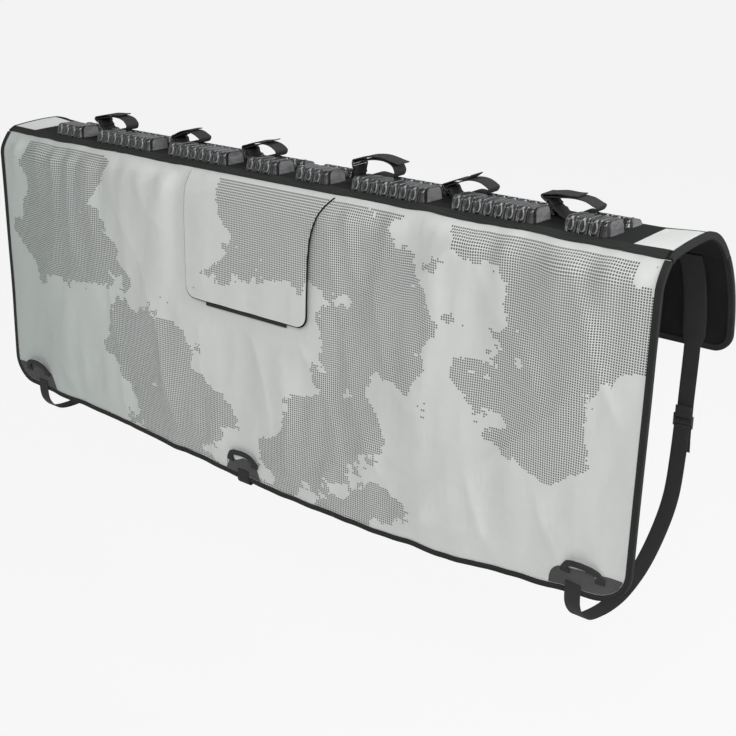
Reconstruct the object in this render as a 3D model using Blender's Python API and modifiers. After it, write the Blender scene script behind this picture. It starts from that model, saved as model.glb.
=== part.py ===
"""Tailgate bike pad: a soft cover that hangs over a pick-up's tailgate and carries six bicycles.

Metres, +Z up. +X runs along the pad, -Y faces away from the vehicle, and the origin lies on the
flat underside of the top, where the pad rests on the tailgate's upper edge.
"""

import math

import bmesh
import bpy
from mathutils import Euler, Matrix, Vector

# Overall form of the sewn cover
PAD_WIDTH = 1.600
FRONT_DROP = 0.571
BACK_DROP = 0.222
GAP = 0.0003

# Front sheet: tarpaulin outside, padded lining inside
CREASE_Y = -0.095
CREASE_Z = 0.002
SHOULDER_OUT = 0.024
SHOULDER_DROP = 0.046
FRONT_FLARE = 0.018
HEM_BOW = 0.042
HEM_SKEW = 0.010
FRONT_CORNER_R = 0.055
TARPAULIN = 0.0012
LINING = 0.0040
WAVE_DEPTH = 0.0035
WAVE_PITCH = 0.290
WAVE_MARGIN = 0.055
WAVE_FADE = 0.090

# Padded top
DECK_TOP = 0.009
DECK_PAD = 0.009
RAMP_RUN = 0.0165
DECK_SETBACK = 0.0018
DECK_FLAT_END = 0.030
DECK_REAR = 0.120
END_RISE = 0.007
END_RISE_RUN = 0.100

# Back flap: it rolls over the tailgate's inner edge and hangs inside
ROLL_RUN = 0.144
ROLL_FALL = 0.220
SEAM_GAP = 0.0012
BACK_SHEET = 0.005
BACK_CORNER_R = 0.032

# Edge tape, in a U round every free edge
TAPE = 0.0012
TAPE_FACE = 0.009
TAPE_CLEARANCE = 0.0004
CREASE_TAPE_WIDTH = 0.0180
END_PANEL_WIDTH = 0.065
END_PANEL_BACK = 0.030
END_PANEL = 0.0009

# Rest blocks: two rows of eight, moulded with ribs that run front to back
RIB_PITCH = 0.021
RIB_RISE = 0.0030
RIB_SIDE = 0.0048
END_LEFT = 0.0040
END_RIGHT = 0.0165
END_LEAN = 0.0050
CORNER_SETBACK = 0.012
END_SLANT = 0.0040
SHORT_RIBS = 3
BLOCK_END_ROOM = 0.125
BLOCK_GAP = 0.0495
MIDDLE_GAP = 0.0425
BLOCK_SHIFT = 0.0135
FRONT_BLOCK_Y = -0.0725
FRONT_BLOCK_DEPTH = 0.050
BLOCK_GROOVE = 0.0225
BACK_BLOCK_DEPTH = 0.036
FRONT_BLOCK_HEIGHTS = (0.0210, 0.0195)
BACK_BLOCK_HEIGHTS = (0.0125, 0.0070)
BLOCK_INSETS = (0.004, 0.003)
BLOCK_EDGES = (0.0070, 0.0030)
BLOCK_ORDER = "SLLSSLLS"

# Bike straps: hook-and-loop webbing through a wire ring, in the groove behind each bike's gap
STRAP_WIDTH = 0.034
STRAP_WEB = 0.0020
STRAP_GAP_TO_BLOCK = 0.006
STRAP_TAIL = 0.013
RING_WIRE = 0.0030
RING_LENGTH = 0.012
RING_SIDE_ROOM = 0.0008
RING_CORNER_R = 0.0030
BIKE_STRAPS = (
    # ring's place and height, fall of the web in degrees, loop's end and height, tip's place and height
    (-0.0400, 0.0345, 38, 0.058, 0.0430, 0.036, 0.0480),
    (-0.0180, 0.0225, 38, 0.061, 0.0380, 0.037, 0.0425),
    (-0.0330, 0.0270, 40, 0.054, 0.0400, 0.036, 0.0470),
    (-0.0120, 0.0370, 80, 0.082, 0.0465, 0.090, 0.0440),
    (-0.0275, 0.0215, 37, 0.065, 0.0390, 0.030, 0.0475),
    (-0.0470, 0.0335, 34, 0.052, 0.0370, 0.018, 0.0415),
)

# Access flap over the handle and camera window
FLAP_X = -0.047
FLAP_HALF = 0.158
FLAP_DROP = 0.251
FLAP_START = 0.005
FLAP_TOP_SPREAD = 0.050
FLAP_SPREAD_RUN = 0.045
FLAP_CORNER_R = 0.022
FLAP_LIFT = 0.0036
FLAP_BACKING = 0.0016
HOOK_TAPE = 0.0015
HOOK_TAPE_WIDTH = 0.020
PULL_STRIP_LENGTH = 0.214
PULL_STRIP_SHOWS = 0.011
PULL_STRIP_TUCK = 0.012
WINDOW_WIDTH = 0.210
WINDOW_TOP = 0.060
WINDOW_HEIGHT = 0.130
WINDOW_R = 0.020

# Reinforced patches, grab handles and tie-down straps at the hem
PATCH = 0.0010
PATCH_HEIGHT = 0.036
PATCH_ROOM = 0.0015
PATCH_SLANT = 0.016
END_PATCH_WIDTH = 0.134
MIDDLE_PATCH_WIDTH = 0.096
MIDDLE_STRAP_X = -0.060
END_STRAP_INSET = 0.100
END_HANDLE_INSET = 0.084
HANDLE_SPAN = 0.084
HANDLE_FOOT = 0.016
HANDLE_WIDTH = 0.019
HANDLE_WEB = 0.0020
HANDLE_BULGE = 0.015
TIE_WIDTH = 0.030
TIE_WEB = 0.0016
TIE_SEWN = 0.0195
TIE_DRIFT = 0.033
TIE_TAIL = 0.050
SLIDER_Z = -0.372
SLIDER_Y = 0.160
SLIDER_BARS = 0.021
SLIDER_BAR = 0.0030
SLIDER_SIDE = 0.0030
SLIDER_SIDE_ROOM = 0.0008
WEB_TOP_Z = -0.082
WEB_WIDE = 0.042
WEB_RETURN = 0.018

# How finely curved pieces are divided
HEM_STEPS = 24
PLAIN_STEPS = 8
CORNER_STEPS = 4
SHOULDER_ROWS = 5
SHEET_ROWS = 5
ROLL_STEPS = 5
BACK_STEPS = 6
STRAP_STEPS = 3
TURN_STEPS = 5

HALF = PAD_WIDTH / 2
BACK_BLOCK_Y = FRONT_BLOCK_Y + FRONT_BLOCK_DEPTH + BLOCK_GROOVE
STRAP_Y = FRONT_BLOCK_Y + FRONT_BLOCK_DEPTH + STRAP_GAP_TO_BLOCK + STRAP_WIDTH / 2
STRAP_CLIMB = BACK_BLOCK_HEIGHTS[0] + RIB_RISE + 2 * GAP + STRAP_WEB / 2
END_STRAP_X = HALF - END_STRAP_INSET
END_HANDLE_X = HALF - END_HANDLE_INSET


def long_block_ribs():
    """Ribs of a long block: as many as leave the rows their room at both ends of the pad."""
    gaps = (len(BLOCK_ORDER) - 2) * BLOCK_GAP + MIDDLE_GAP
    plain_ends = len(BLOCK_ORDER) * (END_LEFT + END_RIGHT)
    short_blocks = BLOCK_ORDER.count("S") * SHORT_RIBS * RIB_PITCH
    room = PAD_WIDTH - 2 * BLOCK_END_ROOM - gaps - plain_ends - short_blocks
    return int(room / (BLOCK_ORDER.count("L") * RIB_PITCH))


def clear_scene():
    for obj in list(bpy.data.objects):
        bpy.data.objects.remove(obj, do_unlink=True)


def new_collection(name):
    collection = bpy.data.collections.new(name)
    bpy.context.scene.collection.children.link(collection)
    return collection


clear_scene()
PARTS = new_collection("tailgate_bike_pad")
CUTTERS = new_collection("cutters")
CUTTERS.hide_render = True
ROOT = bpy.data.objects.new("tailgate_bike_pad", None)
PARTS.objects.link(ROOT)


def make_material(name, colour, roughness):
    material = bpy.data.materials.new(name)
    material.use_nodes = True
    shader = material.node_tree.nodes["Principled BSDF"]
    shader.inputs["Base Color"].default_value = (*colour, 1.0)
    shader.inputs["Roughness"].default_value = roughness
    shader.inputs["Metallic"].default_value = 0.0
    material.diffuse_color = (*colour, 1.0)
    return material


PALE_TARPAULIN = make_material("pale_tarpaulin", (0.52, 0.54, 0.52), 0.55)
BLACK_LINING = make_material("black_lining", (0.014, 0.014, 0.014), 0.90)
DECK_FABRIC = make_material("deck_fabric", (0.030, 0.031, 0.031), 0.80)
EDGE_TAPE = make_material("edge_tape", (0.036, 0.038, 0.036), 0.75)
MOULDED_RUBBER = make_material("moulded_rubber", (0.022, 0.022, 0.023), 0.38)
WEBBING = make_material("webbing", (0.026, 0.026, 0.027), 0.85)
PATCH_FABRIC = make_material("patch_fabric", (0.085, 0.083, 0.085), 0.70)
BLACK_PLASTIC = make_material("black_plastic", (0.020, 0.020, 0.020), 0.45)


def add_object(name, mesh, material, collection=PARTS):
    """Adds one piece of the pad, with its material, under the pad's empty."""
    mesh.name = name
    if not mesh.materials:
        mesh.materials.append(material)
    obj = bpy.data.objects.new(name, mesh)
    collection.objects.link(obj)
    if collection is PARTS:
        obj.parent = ROOT
    return obj


def smooth_step(t):
    t = min(max(t, 0.0), 1.0)
    return t * t * (3 - 2 * t)


def smooth_path(points, steps):
    """A curve through 2D points that doesn't overshoot, with some steps between each two."""
    points = [Vector(p) for p in points]
    spans = [(b - a).length for a, b in zip(points, points[1:])]
    chords = [(b - a) / span for a, b, span in zip(points, points[1:], spans)]
    tangents = [chords[0]]
    for before, after, chord_in, chord_out in zip(spans, spans[1:], chords, chords[1:]):
        tangents.append((chord_in * after + chord_out * before) / (before + after))
    tangents.append(chords[-1])
    path = []
    for a, b, span, leave, arrive in zip(points, points[1:], spans, tangents, tangents[1:]):
        for step in range(steps):
            t = step / steps
            bend = t * (1 - t) * (1 - t) * leave - t * t * (1 - t) * arrive
            path.append(a + (b - a) * smooth_step(t) + span * bend)
    return [*path, points[-1]]


def mapped_grid(columns, rows, place):
    """A grid mesh whose point (u, v), each from 0 to 1, lies at place(u, v)."""
    mesh = bpy.data.meshes.new("sheet")
    grid = bmesh.new()
    bmesh.ops.create_grid(grid, x_segments=columns, y_segments=rows, size=0.5)
    for vertex in grid.verts:
        vertex.co = place(vertex.co.x + 0.5, vertex.co.y + 0.5)
    grid.to_mesh(mesh)
    grid.free()
    return mesh


def thicken(obj, thickness, side):
    """Gives a sheet its thickness: side is -1 behind its face, 1 before it and 0 both ways."""
    shell = obj.modifiers.new("thickness", "SOLIDIFY")
    shell.thickness = thickness
    shell.offset = side
    shell.use_even_offset = True
    return shell


def sheet(name, columns, rows, place, thickness, side, material):
    obj = add_object(name, mapped_grid(columns, rows, place), material)
    thicken(obj, thickness, side)
    return obj


def baked_mesh(obj):
    """The mesh of an object with its modifiers or its curve settings worked in."""
    graph = bpy.context.evaluated_depsgraph_get()
    return bpy.data.meshes.new_from_object(obj.evaluated_get(graph))


# Surface of the front sheet


def hem_line(x):
    bow = HEM_BOW * math.cos(math.pi * x / PAD_WIDTH)
    return FRONT_DROP + bow + HEM_SKEW * math.sin(2 * math.pi * x / PAD_WIDTH)


def rounded_edge(line, radius, x, inset):
    """Distance down to a lower edge that rounds up to the pad's ends, or to a line inset from it."""
    inner = radius - inset
    past = max(abs(x) - (HALF - radius), 0.0)
    return line - inset - (inner - math.sqrt(max(inner * inner - past * past, 0.0)))


def hem_drop(x, inset=0.0):
    return rounded_edge(hem_line(x), FRONT_CORNER_R, x, inset)


def front_wave(x, drop):
    """Soft upright folds in the front sheet, none near its sewn edges or the access flap."""
    beside = max(abs(x - FLAP_X) - FLAP_HALF, 0.0)
    below = max(drop - FLAP_DROP, 0.0)
    edge = min(HALF - abs(x), drop, hem_line(x) - drop, math.hypot(beside, below))
    fade = smooth_step((edge - WAVE_MARGIN) / WAVE_FADE)
    turn = 2 * math.pi * x / WAVE_PITCH
    fold = math.sin(turn + 3.0 * drop) + 0.5 * math.sin(1.7 * turn - 5.0 * drop + 1.0)
    return fade * WAVE_DEPTH * fold


def front_point(x, drop, out=0.0):
    """Point of the front sheet's outer face at x and a distance down, moved outwards by out."""
    turn = 0.5 * math.pi * min(max(drop, 0.0) / SHOULDER_DROP, 1.0)
    y = CREASE_Y - SHOULDER_OUT * math.sin(turn) - FRONT_FLARE * drop / FRONT_DROP
    slope = SHOULDER_OUT * math.cos(turn) * 0.5 * math.pi / SHOULDER_DROP if turn < 1.57 else 0.0
    slope += FRONT_FLARE / FRONT_DROP
    normal = Vector((0.0, -1.0, slope)).normalized()
    return Vector((x, y - front_wave(x, drop), CREASE_Z - drop)) + out * normal


# Surface of the padded top and of the back flap


def roll_turn(y):
    """Angle round the roll, from 0 at its start to a quarter turn where the flap hangs."""
    return math.asin(min(max((y - DECK_FLAT_END) / ROLL_RUN, 0.0), 1.0))


def roll_height(y):
    past = min(max(y - DECK_FLAT_END, 0.0) / ROLL_RUN, 1.0)
    return DECK_TOP - ROLL_FALL * (1 - math.sqrt(1 - past * past))


def deck_height(x, y):
    ramp = min((y - CREASE_Y) / RAMP_RUN, 1.0)
    rise = smooth_step((abs(x) - (HALF - END_RISE_RUN)) / END_RISE_RUN)
    crown = max(math.sin(math.pi * (y - CREASE_Y) / (DECK_REAR - CREASE_Y)), 0.0)
    height = roll_height(y) if ramp >= 1.0 else CREASE_Z + ramp * (DECK_TOP - CREASE_Z)
    return height + END_RISE * rise * crown


def deck_point(x, y, out=0.0):
    """Point of the top's upper face, moved off it by out."""
    step = 0.001
    slope = (deck_height(x, y + step) - deck_height(x, y - step)) / (2 * step)
    return Vector((x, y, deck_height(x, y))) + out * Vector((0.0, -slope, 1.0)).normalized()


def back_rows():
    """Heights down the roll from the seam to where the flap hangs straight."""
    start = roll_turn(DECK_REAR + SEAM_GAP)
    turns = [start + (0.5 * math.pi - start) * k / BACK_STEPS for k in range(BACK_STEPS + 1)]
    return [DECK_TOP - ROLL_FALL * (1 - math.cos(turn)) for turn in turns]


def back_hem_z(x, inset=0.0):
    return -rounded_edge(BACK_DROP, BACK_CORNER_R, x, inset)


def back_point(x, z, out=0.0):
    """Point of the back flap's outer face at a height, moved outwards by out."""
    fall = min((DECK_TOP - z) / ROLL_FALL, 1.0)
    run = math.sqrt(max(1 - (1 - fall) ** 2, 1e-9))
    y = DECK_FLAT_END + ROLL_RUN * run
    slope = (1 - fall) / run * ROLL_RUN / ROLL_FALL
    normal = Vector((0.0, 1.0, slope)).normalized()
    return Vector((x, y, z)) + out * normal


def rounded_stations(half, radius, steps):
    """Places across a sheet: even over its straight part and by angle round both corners."""
    straight = half - radius
    turns = [0.5 * math.pi * k / CORNER_STEPS for k in range(1, CORNER_STEPS + 1)]
    corner = [straight + radius * math.sin(turn) for turn in turns]
    middle = [straight * (2 * k / steps - 1) for k in range(steps + 1)]
    return [-x for x in reversed(corner)] + middle + corner


def shoulder_rows(start):
    """Distances down the shoulder that all layers of the front share, after a starting one."""
    rows = [SHOULDER_DROP * k / SHOULDER_ROWS for k in range(SHOULDER_ROWS + 1)]
    return [start] + [row for row in rows if row > start + 0.002]


def front_rows(x, start):
    """Distances down the front sheet: the shoulder, an even middle, and one row by the hem."""
    low = hem_line(x) - WAVE_MARGIN
    shares = [k / SHEET_ROWS for k in range(1, SHEET_ROWS + 1)]
    rows = [SHOULDER_DROP + (low - SHOULDER_DROP) * share for share in shares]
    hem = hem_drop(x)
    high = [min(row, hem - 0.004 * (len(rows) - k)) for k, row in enumerate(rows)]
    return [*shoulder_rows(start), *high, hem]


def make_window_cutter():
    """A prism with rounded corners that opens the window behind the access flap."""
    mesh = bpy.data.meshes.new("window_cutter")
    box = bmesh.new()
    bmesh.ops.create_cube(box, size=1.0)
    bmesh.ops.scale(box, vec=(WINDOW_WIDTH, 0.12, WINDOW_HEIGHT), verts=box.verts)
    upright = [e for e in box.edges if abs(e.verts[0].co.y - e.verts[1].co.y) > 0.01]
    bmesh.ops.bevel(box, geom=upright, offset=WINDOW_R, segments=4, affect="EDGES", profile=0.5)
    box.to_mesh(mesh)
    box.free()
    cutter = add_object("window_cutter", mesh, BLACK_LINING, CUTTERS)
    middle = front_point(FLAP_X, WINDOW_TOP + WINDOW_HEIGHT / 2)
    cutter.location = (FLAP_X, middle.y, middle.z)
    cutter.hide_render = True
    cutter.display_type = "WIRE"
    return cutter


def cut(obj, cutter):
    boolean = obj.modifiers.new("window", "BOOLEAN")
    boolean.operation = "DIFFERENCE"
    boolean.solver = "EXACT"
    boolean.object = cutter


def make_front_sheets():
    """Tarpaulin and lining share one surface and one window, and are sewn at the crease and hem."""
    stations = rounded_stations(HALF, FRONT_CORNER_R, HEM_STEPS)
    columns = len(stations) - 1
    cutter = make_window_cutter()
    lining_start = SHOULDER_DROP / SHOULDER_ROWS
    layers = (
        ("front_tarpaulin", 0.0, 0.0, TARPAULIN, PALE_TARPAULIN),
        ("front_lining", lining_start, -TARPAULIN - TAPE_CLEARANCE, LINING, BLACK_LINING),
    )
    for name, start, out, thickness, material in layers:
        rows = len(front_rows(0.0, start)) - 1

        def place(u, v, start=start, out=out, rows=rows):
            x = stations[round(u * columns)]
            return front_point(x, front_rows(x, start)[rows - round(v * rows)], out)

        cut(sheet(name, columns, rows, place, thickness, -1, material), cutter)


def tape_section(point, inward, stack):
    """The four corners of a tape folded round an edge, from its outer lip to its inner lip."""
    lip = [value * TAPE_FACE for value in inward]
    turn = [-value * TAPE_CLEARANCE for value in inward]
    outer, inner = TAPE_CLEARANCE, -(stack + TAPE_CLEARANCE)
    return [point(*lip, outer), point(*turn, outer), point(*turn, inner), point(*lip, inner)]


def make_tape(name, sections):
    """An edge tape from its sections, which follow the edge from end to end."""
    columns = len(sections) - 1
    return sheet(
        name,
        columns,
        3,
        lambda u, v: sections[round(u * columns)][round(3 * v)],
        TAPE,
        -1,
        EDGE_TAPE,
    )


def make_front_tape():
    """One tape down the left end, round the hem and up the right end of the front sheets."""
    stack = TARPAULIN + TAPE_CLEARANCE + LINING
    straight = HALF - FRONT_CORNER_R
    shoulder = shoulder_rows(0.0)[1:]
    route = [(-HALF, drop, (1.0, 0.0)) for drop in [*shoulder, 0.5 * FRONT_DROP]]
    turns = [0.5 * math.pi * k / CORNER_STEPS for k in range(CORNER_STEPS + 1)]
    for turn in reversed(turns):
        x = straight + FRONT_CORNER_R * math.sin(turn)
        route.append((-x, hem_drop(-x), (math.sin(turn), -math.cos(turn))))
    for k in range(1, HEM_STEPS):
        x = straight * (2 * k / HEM_STEPS - 1)
        route.append((x, hem_drop(x), (0.0, -1.0)))
    for turn in turns:
        x = straight + FRONT_CORNER_R * math.sin(turn)
        route.append((x, hem_drop(x), (-math.sin(turn), -math.cos(turn))))
    route += [(HALF, drop, (-1.0, 0.0)) for drop in [0.5 * FRONT_DROP, *reversed(shoulder)]]
    sections = []
    for x, drop, inward in route:

        def point(dx, ddrop, out, x=x, drop=drop):
            return front_point(x + dx, drop + ddrop, out)

        sections.append(tape_section(point, inward, stack))
    return make_tape("front_edge_tape", sections)


def deck_rows():
    """Places from the crease to the rear edge of the top: its ramp, its bed and its roll."""
    start = CREASE_Y + DECK_SETBACK
    ramp_end = CREASE_Y + RAMP_RUN
    bed = DECK_FLAT_END - ramp_end
    rows = [start, (start + ramp_end) / 2]
    rows += [ramp_end + bed * k / 4 for k in range(5)]
    turns = [roll_turn(DECK_REAR) * k / ROLL_STEPS for k in range(1, ROLL_STEPS + 1)]
    return rows + [DECK_FLAT_END + ROLL_RUN * math.sin(turn) for turn in turns]


def deck_columns(half):
    """Places along the top, closer where its ends rise, out to half its length."""
    rise = HALF - END_RISE_RUN
    rising = [rise + END_RISE_RUN * k / 4 for k in range(1, 5)]
    rising = [x for x in rising if x < half - 0.001] + [half]
    level = [rise * (2 * k / PLAIN_STEPS - 1) for k in range(PLAIN_STEPS + 1)]
    return [-x for x in reversed(rising)] + level + rising


def make_deck():
    """The padded top: a ramp up from the crease, a bed for the blocks, and a roll at the back."""
    across = deck_rows()
    along = deck_columns(HALF)
    columns, rows = len(along) - 1, len(across) - 1
    return sheet(
        "top_deck",
        columns,
        rows,
        lambda u, v: deck_point(along[round(u * columns)], across[round(v * rows)]),
        DECK_PAD,
        -1,
        DECK_FABRIC,
    )


def make_deck_end_tapes():
    for side, name in ((-1, "deck_end_tape_left"), (1, "deck_end_tape_right")):
        sections = []
        for y in deck_rows()[1:] if side < 0 else deck_rows()[:0:-1]:

            def point(dx, dy, out, y=y, side=side):
                return deck_point(side * HALF + dx, y + dy, out)

            sections.append(tape_section(point, (-side, 0.0), DECK_PAD)[::-1])
        make_tape(name, sections)


def make_crease_tape():
    """The dark tape that covers the seam between the tarpaulin's top edge and the deck."""
    along = deck_columns(HALF - TAPE_FACE - TAPE_CLEARANCE)
    seam = CREASE_Y - GAP
    end = seam + CREASE_TAPE_WIDTH
    across = [seam] + [y for y in deck_rows() if seam < y < end - 0.001] + [end]
    columns, rows = len(along) - 1, len(across) - 1

    def place(u, v):
        return deck_point(along[round(u * columns)], across[round(v * rows)], GAP)

    return sheet("crease_tape", columns, rows, place, TAPE, 1, EDGE_TAPE)


def make_end_panels():
    outer = HALF - TAPE_FACE - 2 * TAPE_CLEARANCE
    front = CREASE_Y + CREASE_TAPE_WIDTH + TAPE_CLEARANCE
    for side, name in ((-1, "end_panel_left"), (1, "end_panel_right")):

        def place(u, v, side=side):
            x = outer - END_PANEL_WIDTH * (u if side < 0 else 1 - u)
            return deck_point(side * x, front + v * (END_PANEL_BACK - front), GAP)

        sheet(name, 4, 4, place, END_PANEL, 1, PALE_TARPAULIN)


def make_back_flap():
    """The black flap, with its edge tape down both ends and along its hem."""
    stations = rounded_stations(HALF, BACK_CORNER_R, PLAIN_STEPS)
    columns = len(stations) - 1
    heights = back_rows()
    rows = len(heights)

    def place(u, v):
        x = stations[round(u * columns)]
        row = round(v * rows)
        hem = back_hem_z(x)
        z = hem if row == rows else max(heights[row], hem + 0.004 * (rows - row))
        return back_point(x, z)

    sheet("back_flap", columns, rows, place, BACK_SHEET, -1, DECK_FABRIC)

    straight = HALF - BACK_CORNER_R
    side = [z for z in heights if z > back_hem_z(HALF) + 0.004]
    turns = [0.5 * math.pi * k / CORNER_STEPS for k in range(CORNER_STEPS + 1)]
    route = [(-HALF, z, (1.0, 0.0)) for z in side]
    for turn in reversed(turns):
        x = straight + BACK_CORNER_R * math.sin(turn)
        route.append((-x, back_hem_z(x), (math.sin(turn), math.cos(turn))))
    for k in range(1, PLAIN_STEPS):
        route.append((straight * (2 * k / PLAIN_STEPS - 1), -BACK_DROP, (0.0, 1.0)))
    for turn in turns:
        x = straight + BACK_CORNER_R * math.sin(turn)
        route.append((x, back_hem_z(x), (-math.sin(turn), math.cos(turn))))
    route += [(HALF, z, (-1.0, 0.0)) for z in reversed(side)]
    sections = []
    for x, z, inward in route:

        def point(dx, dz, out, x=x, z=z):
            return back_point(x + dx, z + dz, out)

        sections.append(tape_section(point, inward, BACK_SHEET)[::-1])
    make_tape("back_edge_tape", sections)


# Rest blocks


def block_section(depth, heights, ribbed):
    """Section across a block, (y, z) from its front base over the top to its back base."""
    front_high, back_high = heights
    front_in, back_in = BLOCK_INSETS
    edge, back_edge = BLOCK_EDGES
    grow = RIB_RISE if ribbed else 0.0
    points = [
        (0.0, 0.0, -1.0, 0.0),
        (front_in, front_high - edge, -0.97, 0.25),
        (front_in + 0.3 * edge, front_high - 0.3 * edge, -0.7, 0.7),
        (front_in + edge, front_high, -0.1, 1.0),
        (depth - back_in - back_edge, back_high, 0.1, 1.0),
        (depth - back_in, back_high - back_edge, 0.0, 0.5),
        (depth, 0.0, 0.0, 0.0),
    ]
    return [(y + grow * dy, z + grow * dz) for y, z, dy, dz in points]


def block_mesh(ribs, depth, heights):
    """A moulded block: a thin left end, ribs from front to back, and a rounded right corner."""
    plain = block_section(depth, heights, False)
    ribbed = block_section(depth, heights, True)
    left = -(END_LEFT + ribs * RIB_PITCH + END_RIGHT) / 2
    top = max(z for _, z in ribbed)
    stations = [(left, plain, 0.003, -0.4 * END_LEAN, 0.0)]
    for rib in range(ribs):
        start = left + END_LEFT + rib * RIB_PITCH
        stations.append((start, plain, 0.0, 0.0, 0.0))
        stations.append((start + RIB_SIDE, ribbed, 0.0, 0.0, 0.0))
        stations.append((start + RIB_PITCH - RIB_SIDE, ribbed, 0.0, 0.0, 0.0))
    corner = left + END_LEFT + ribs * RIB_PITCH
    flat = END_RIGHT - END_SLANT
    stations += [
        (corner, plain, 0.0, 0.0, 0.0),
        (corner + 0.35 * flat, ribbed, 0.0, 0.0, 0.0),
        (corner + 0.60 * flat, ribbed, 0.0, 0.3 * END_LEAN, 0.0),
        (corner + 0.88 * flat, ribbed, 0.35 * CORNER_SETBACK, 0.8 * END_LEAN, 0.3 * END_SLANT),
        (corner + flat, ribbed, CORNER_SETBACK, END_LEAN, END_SLANT),
    ]
    columns, rows = len(stations) - 1, len(plain) - 1

    def place(u, v):
        x, section, setback, lean, slant = stations[round(u * columns)]
        row = round(v * rows)
        y, z = section[row]
        back = setback if row < 4 else 0.0
        return Vector((x - lean * z / top + slant * max(y, 0.0) / depth, y + back, z))

    mesh = mapped_grid(columns, rows, place)
    shape = bmesh.new()
    shape.from_mesh(mesh)
    open_edges = [edge for edge in shape.edges if edge.is_boundary]
    ends = {}
    for edge in open_edges:
        a, b = (vertex.co for vertex in edge.verts)
        if max(a.z, b.z) > 1e-6:
            ends.setdefault(a.x > 0, []).append(edge)
    for loop in ends.values():
        verts = {vertex for edge in loop for vertex in edge.verts}
        feet = sorted((v for v in verts if v.co.z < 1e-6), key=lambda v: v.co.y)
        shape.edges.new((feet[0], feet[-1]))
        bmesh.ops.contextual_create(shape, geom=[*loop, shape.edges.get((feet[0], feet[-1]))])
    base = [edge for edge in shape.edges if edge.is_boundary]
    bmesh.ops.contextual_create(shape, geom=base)
    bmesh.ops.recalc_face_normals(shape, faces=shape.faces)
    shape.to_mesh(mesh)
    shape.free()
    return mesh


def block_length(kind):
    ribs = long_block_ribs() if kind == "L" else SHORT_RIBS
    return END_LEFT + ribs * RIB_PITCH + END_RIGHT


def block_places():
    """Middle of each column of blocks along the pad, and the middles of the six bike gaps."""
    gaps = [BLOCK_GAP] * (len(BLOCK_ORDER) - 1)
    gaps[len(gaps) // 2] = MIDDLE_GAP
    total = sum(block_length(kind) for kind in BLOCK_ORDER) + sum(gaps)
    at = BLOCK_SHIFT - total / 2
    columns, spaces = [], []
    for kind, gap in zip(BLOCK_ORDER, [*gaps, 0.0]):
        columns.append(at + block_length(kind) / 2)
        at += block_length(kind)
        spaces.append(at + gap / 2)
        at += gap
    middle = len(gaps) // 2
    return columns, spaces[:middle] + spaces[middle + 1 : -1]


def make_blocks():
    rows = (
        ("front", FRONT_BLOCK_Y, FRONT_BLOCK_DEPTH, FRONT_BLOCK_HEIGHTS),
        ("back", BACK_BLOCK_Y, BACK_BLOCK_DEPTH, BACK_BLOCK_HEIGHTS),
    )
    columns, _ = block_places()
    for row, y, depth, heights in rows:
        meshes = {
            "L": block_mesh(long_block_ribs(), depth, heights),
            "S": block_mesh(SHORT_RIBS, depth, heights),
        }
        for number, (kind, x) in enumerate(zip(BLOCK_ORDER, columns), start=1):
            block = add_object(f"rest_block_{row}_{number}", meshes[kind], MOULDED_RUBBER)
            block.location = (x, y, DECK_TOP + GAP)


# Straps and rings


def turn_points(centre, radius, start, end, steps=TURN_STEPS):
    """Points round an arc, with angles in degrees."""
    points = []
    for k in range(steps + 1):
        angle = math.radians(start + (end - start) * k / steps)
        points.append((centre[0] + radius * math.cos(angle), centre[1] + radius * math.sin(angle)))
    return points


def ribbon_mesh(points, width, web):
    """A flat webbing mesh that follows a 2D path, drawn in XY and as wide along Z as stated."""
    curve = bpy.data.curves.new("ribbon", "CURVE")
    curve.dimensions = "2D"
    curve.extrude = width / 2
    spline = curve.splines.new("POLY")
    spline.points.add(len(points) - 1)
    for point, (x, y) in zip(spline.points, points):
        point.co = (x, y, 0.0, 1.0)
    guide = bpy.data.objects.new("ribbon_guide", curve)
    CUTTERS.objects.link(guide)
    thicken(guide, web, 0)
    mesh = baked_mesh(guide)
    bpy.data.objects.remove(guide)
    tidy = bmesh.new()
    tidy.from_mesh(mesh)
    bmesh.ops.remove_doubles(tidy, verts=tidy.verts, dist=1e-6)
    bmesh.ops.recalc_face_normals(tidy, faces=tidy.faces)
    tidy.to_mesh(mesh)
    tidy.free()
    return mesh


def strap_frame(strap):
    """Fold radius, both bars of a ring and the web's two directions, in a strap's own plane."""
    fold = RING_WIRE / 2 + GAP + STRAP_WEB / 2
    fall = math.radians(strap[2])
    along = Vector((math.cos(fall), -math.sin(fall)))
    across = Vector((math.sin(fall), math.cos(fall)))
    high = Vector(strap[:2])
    return fold, high, high + RING_LENGTH * along, along, across


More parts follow.
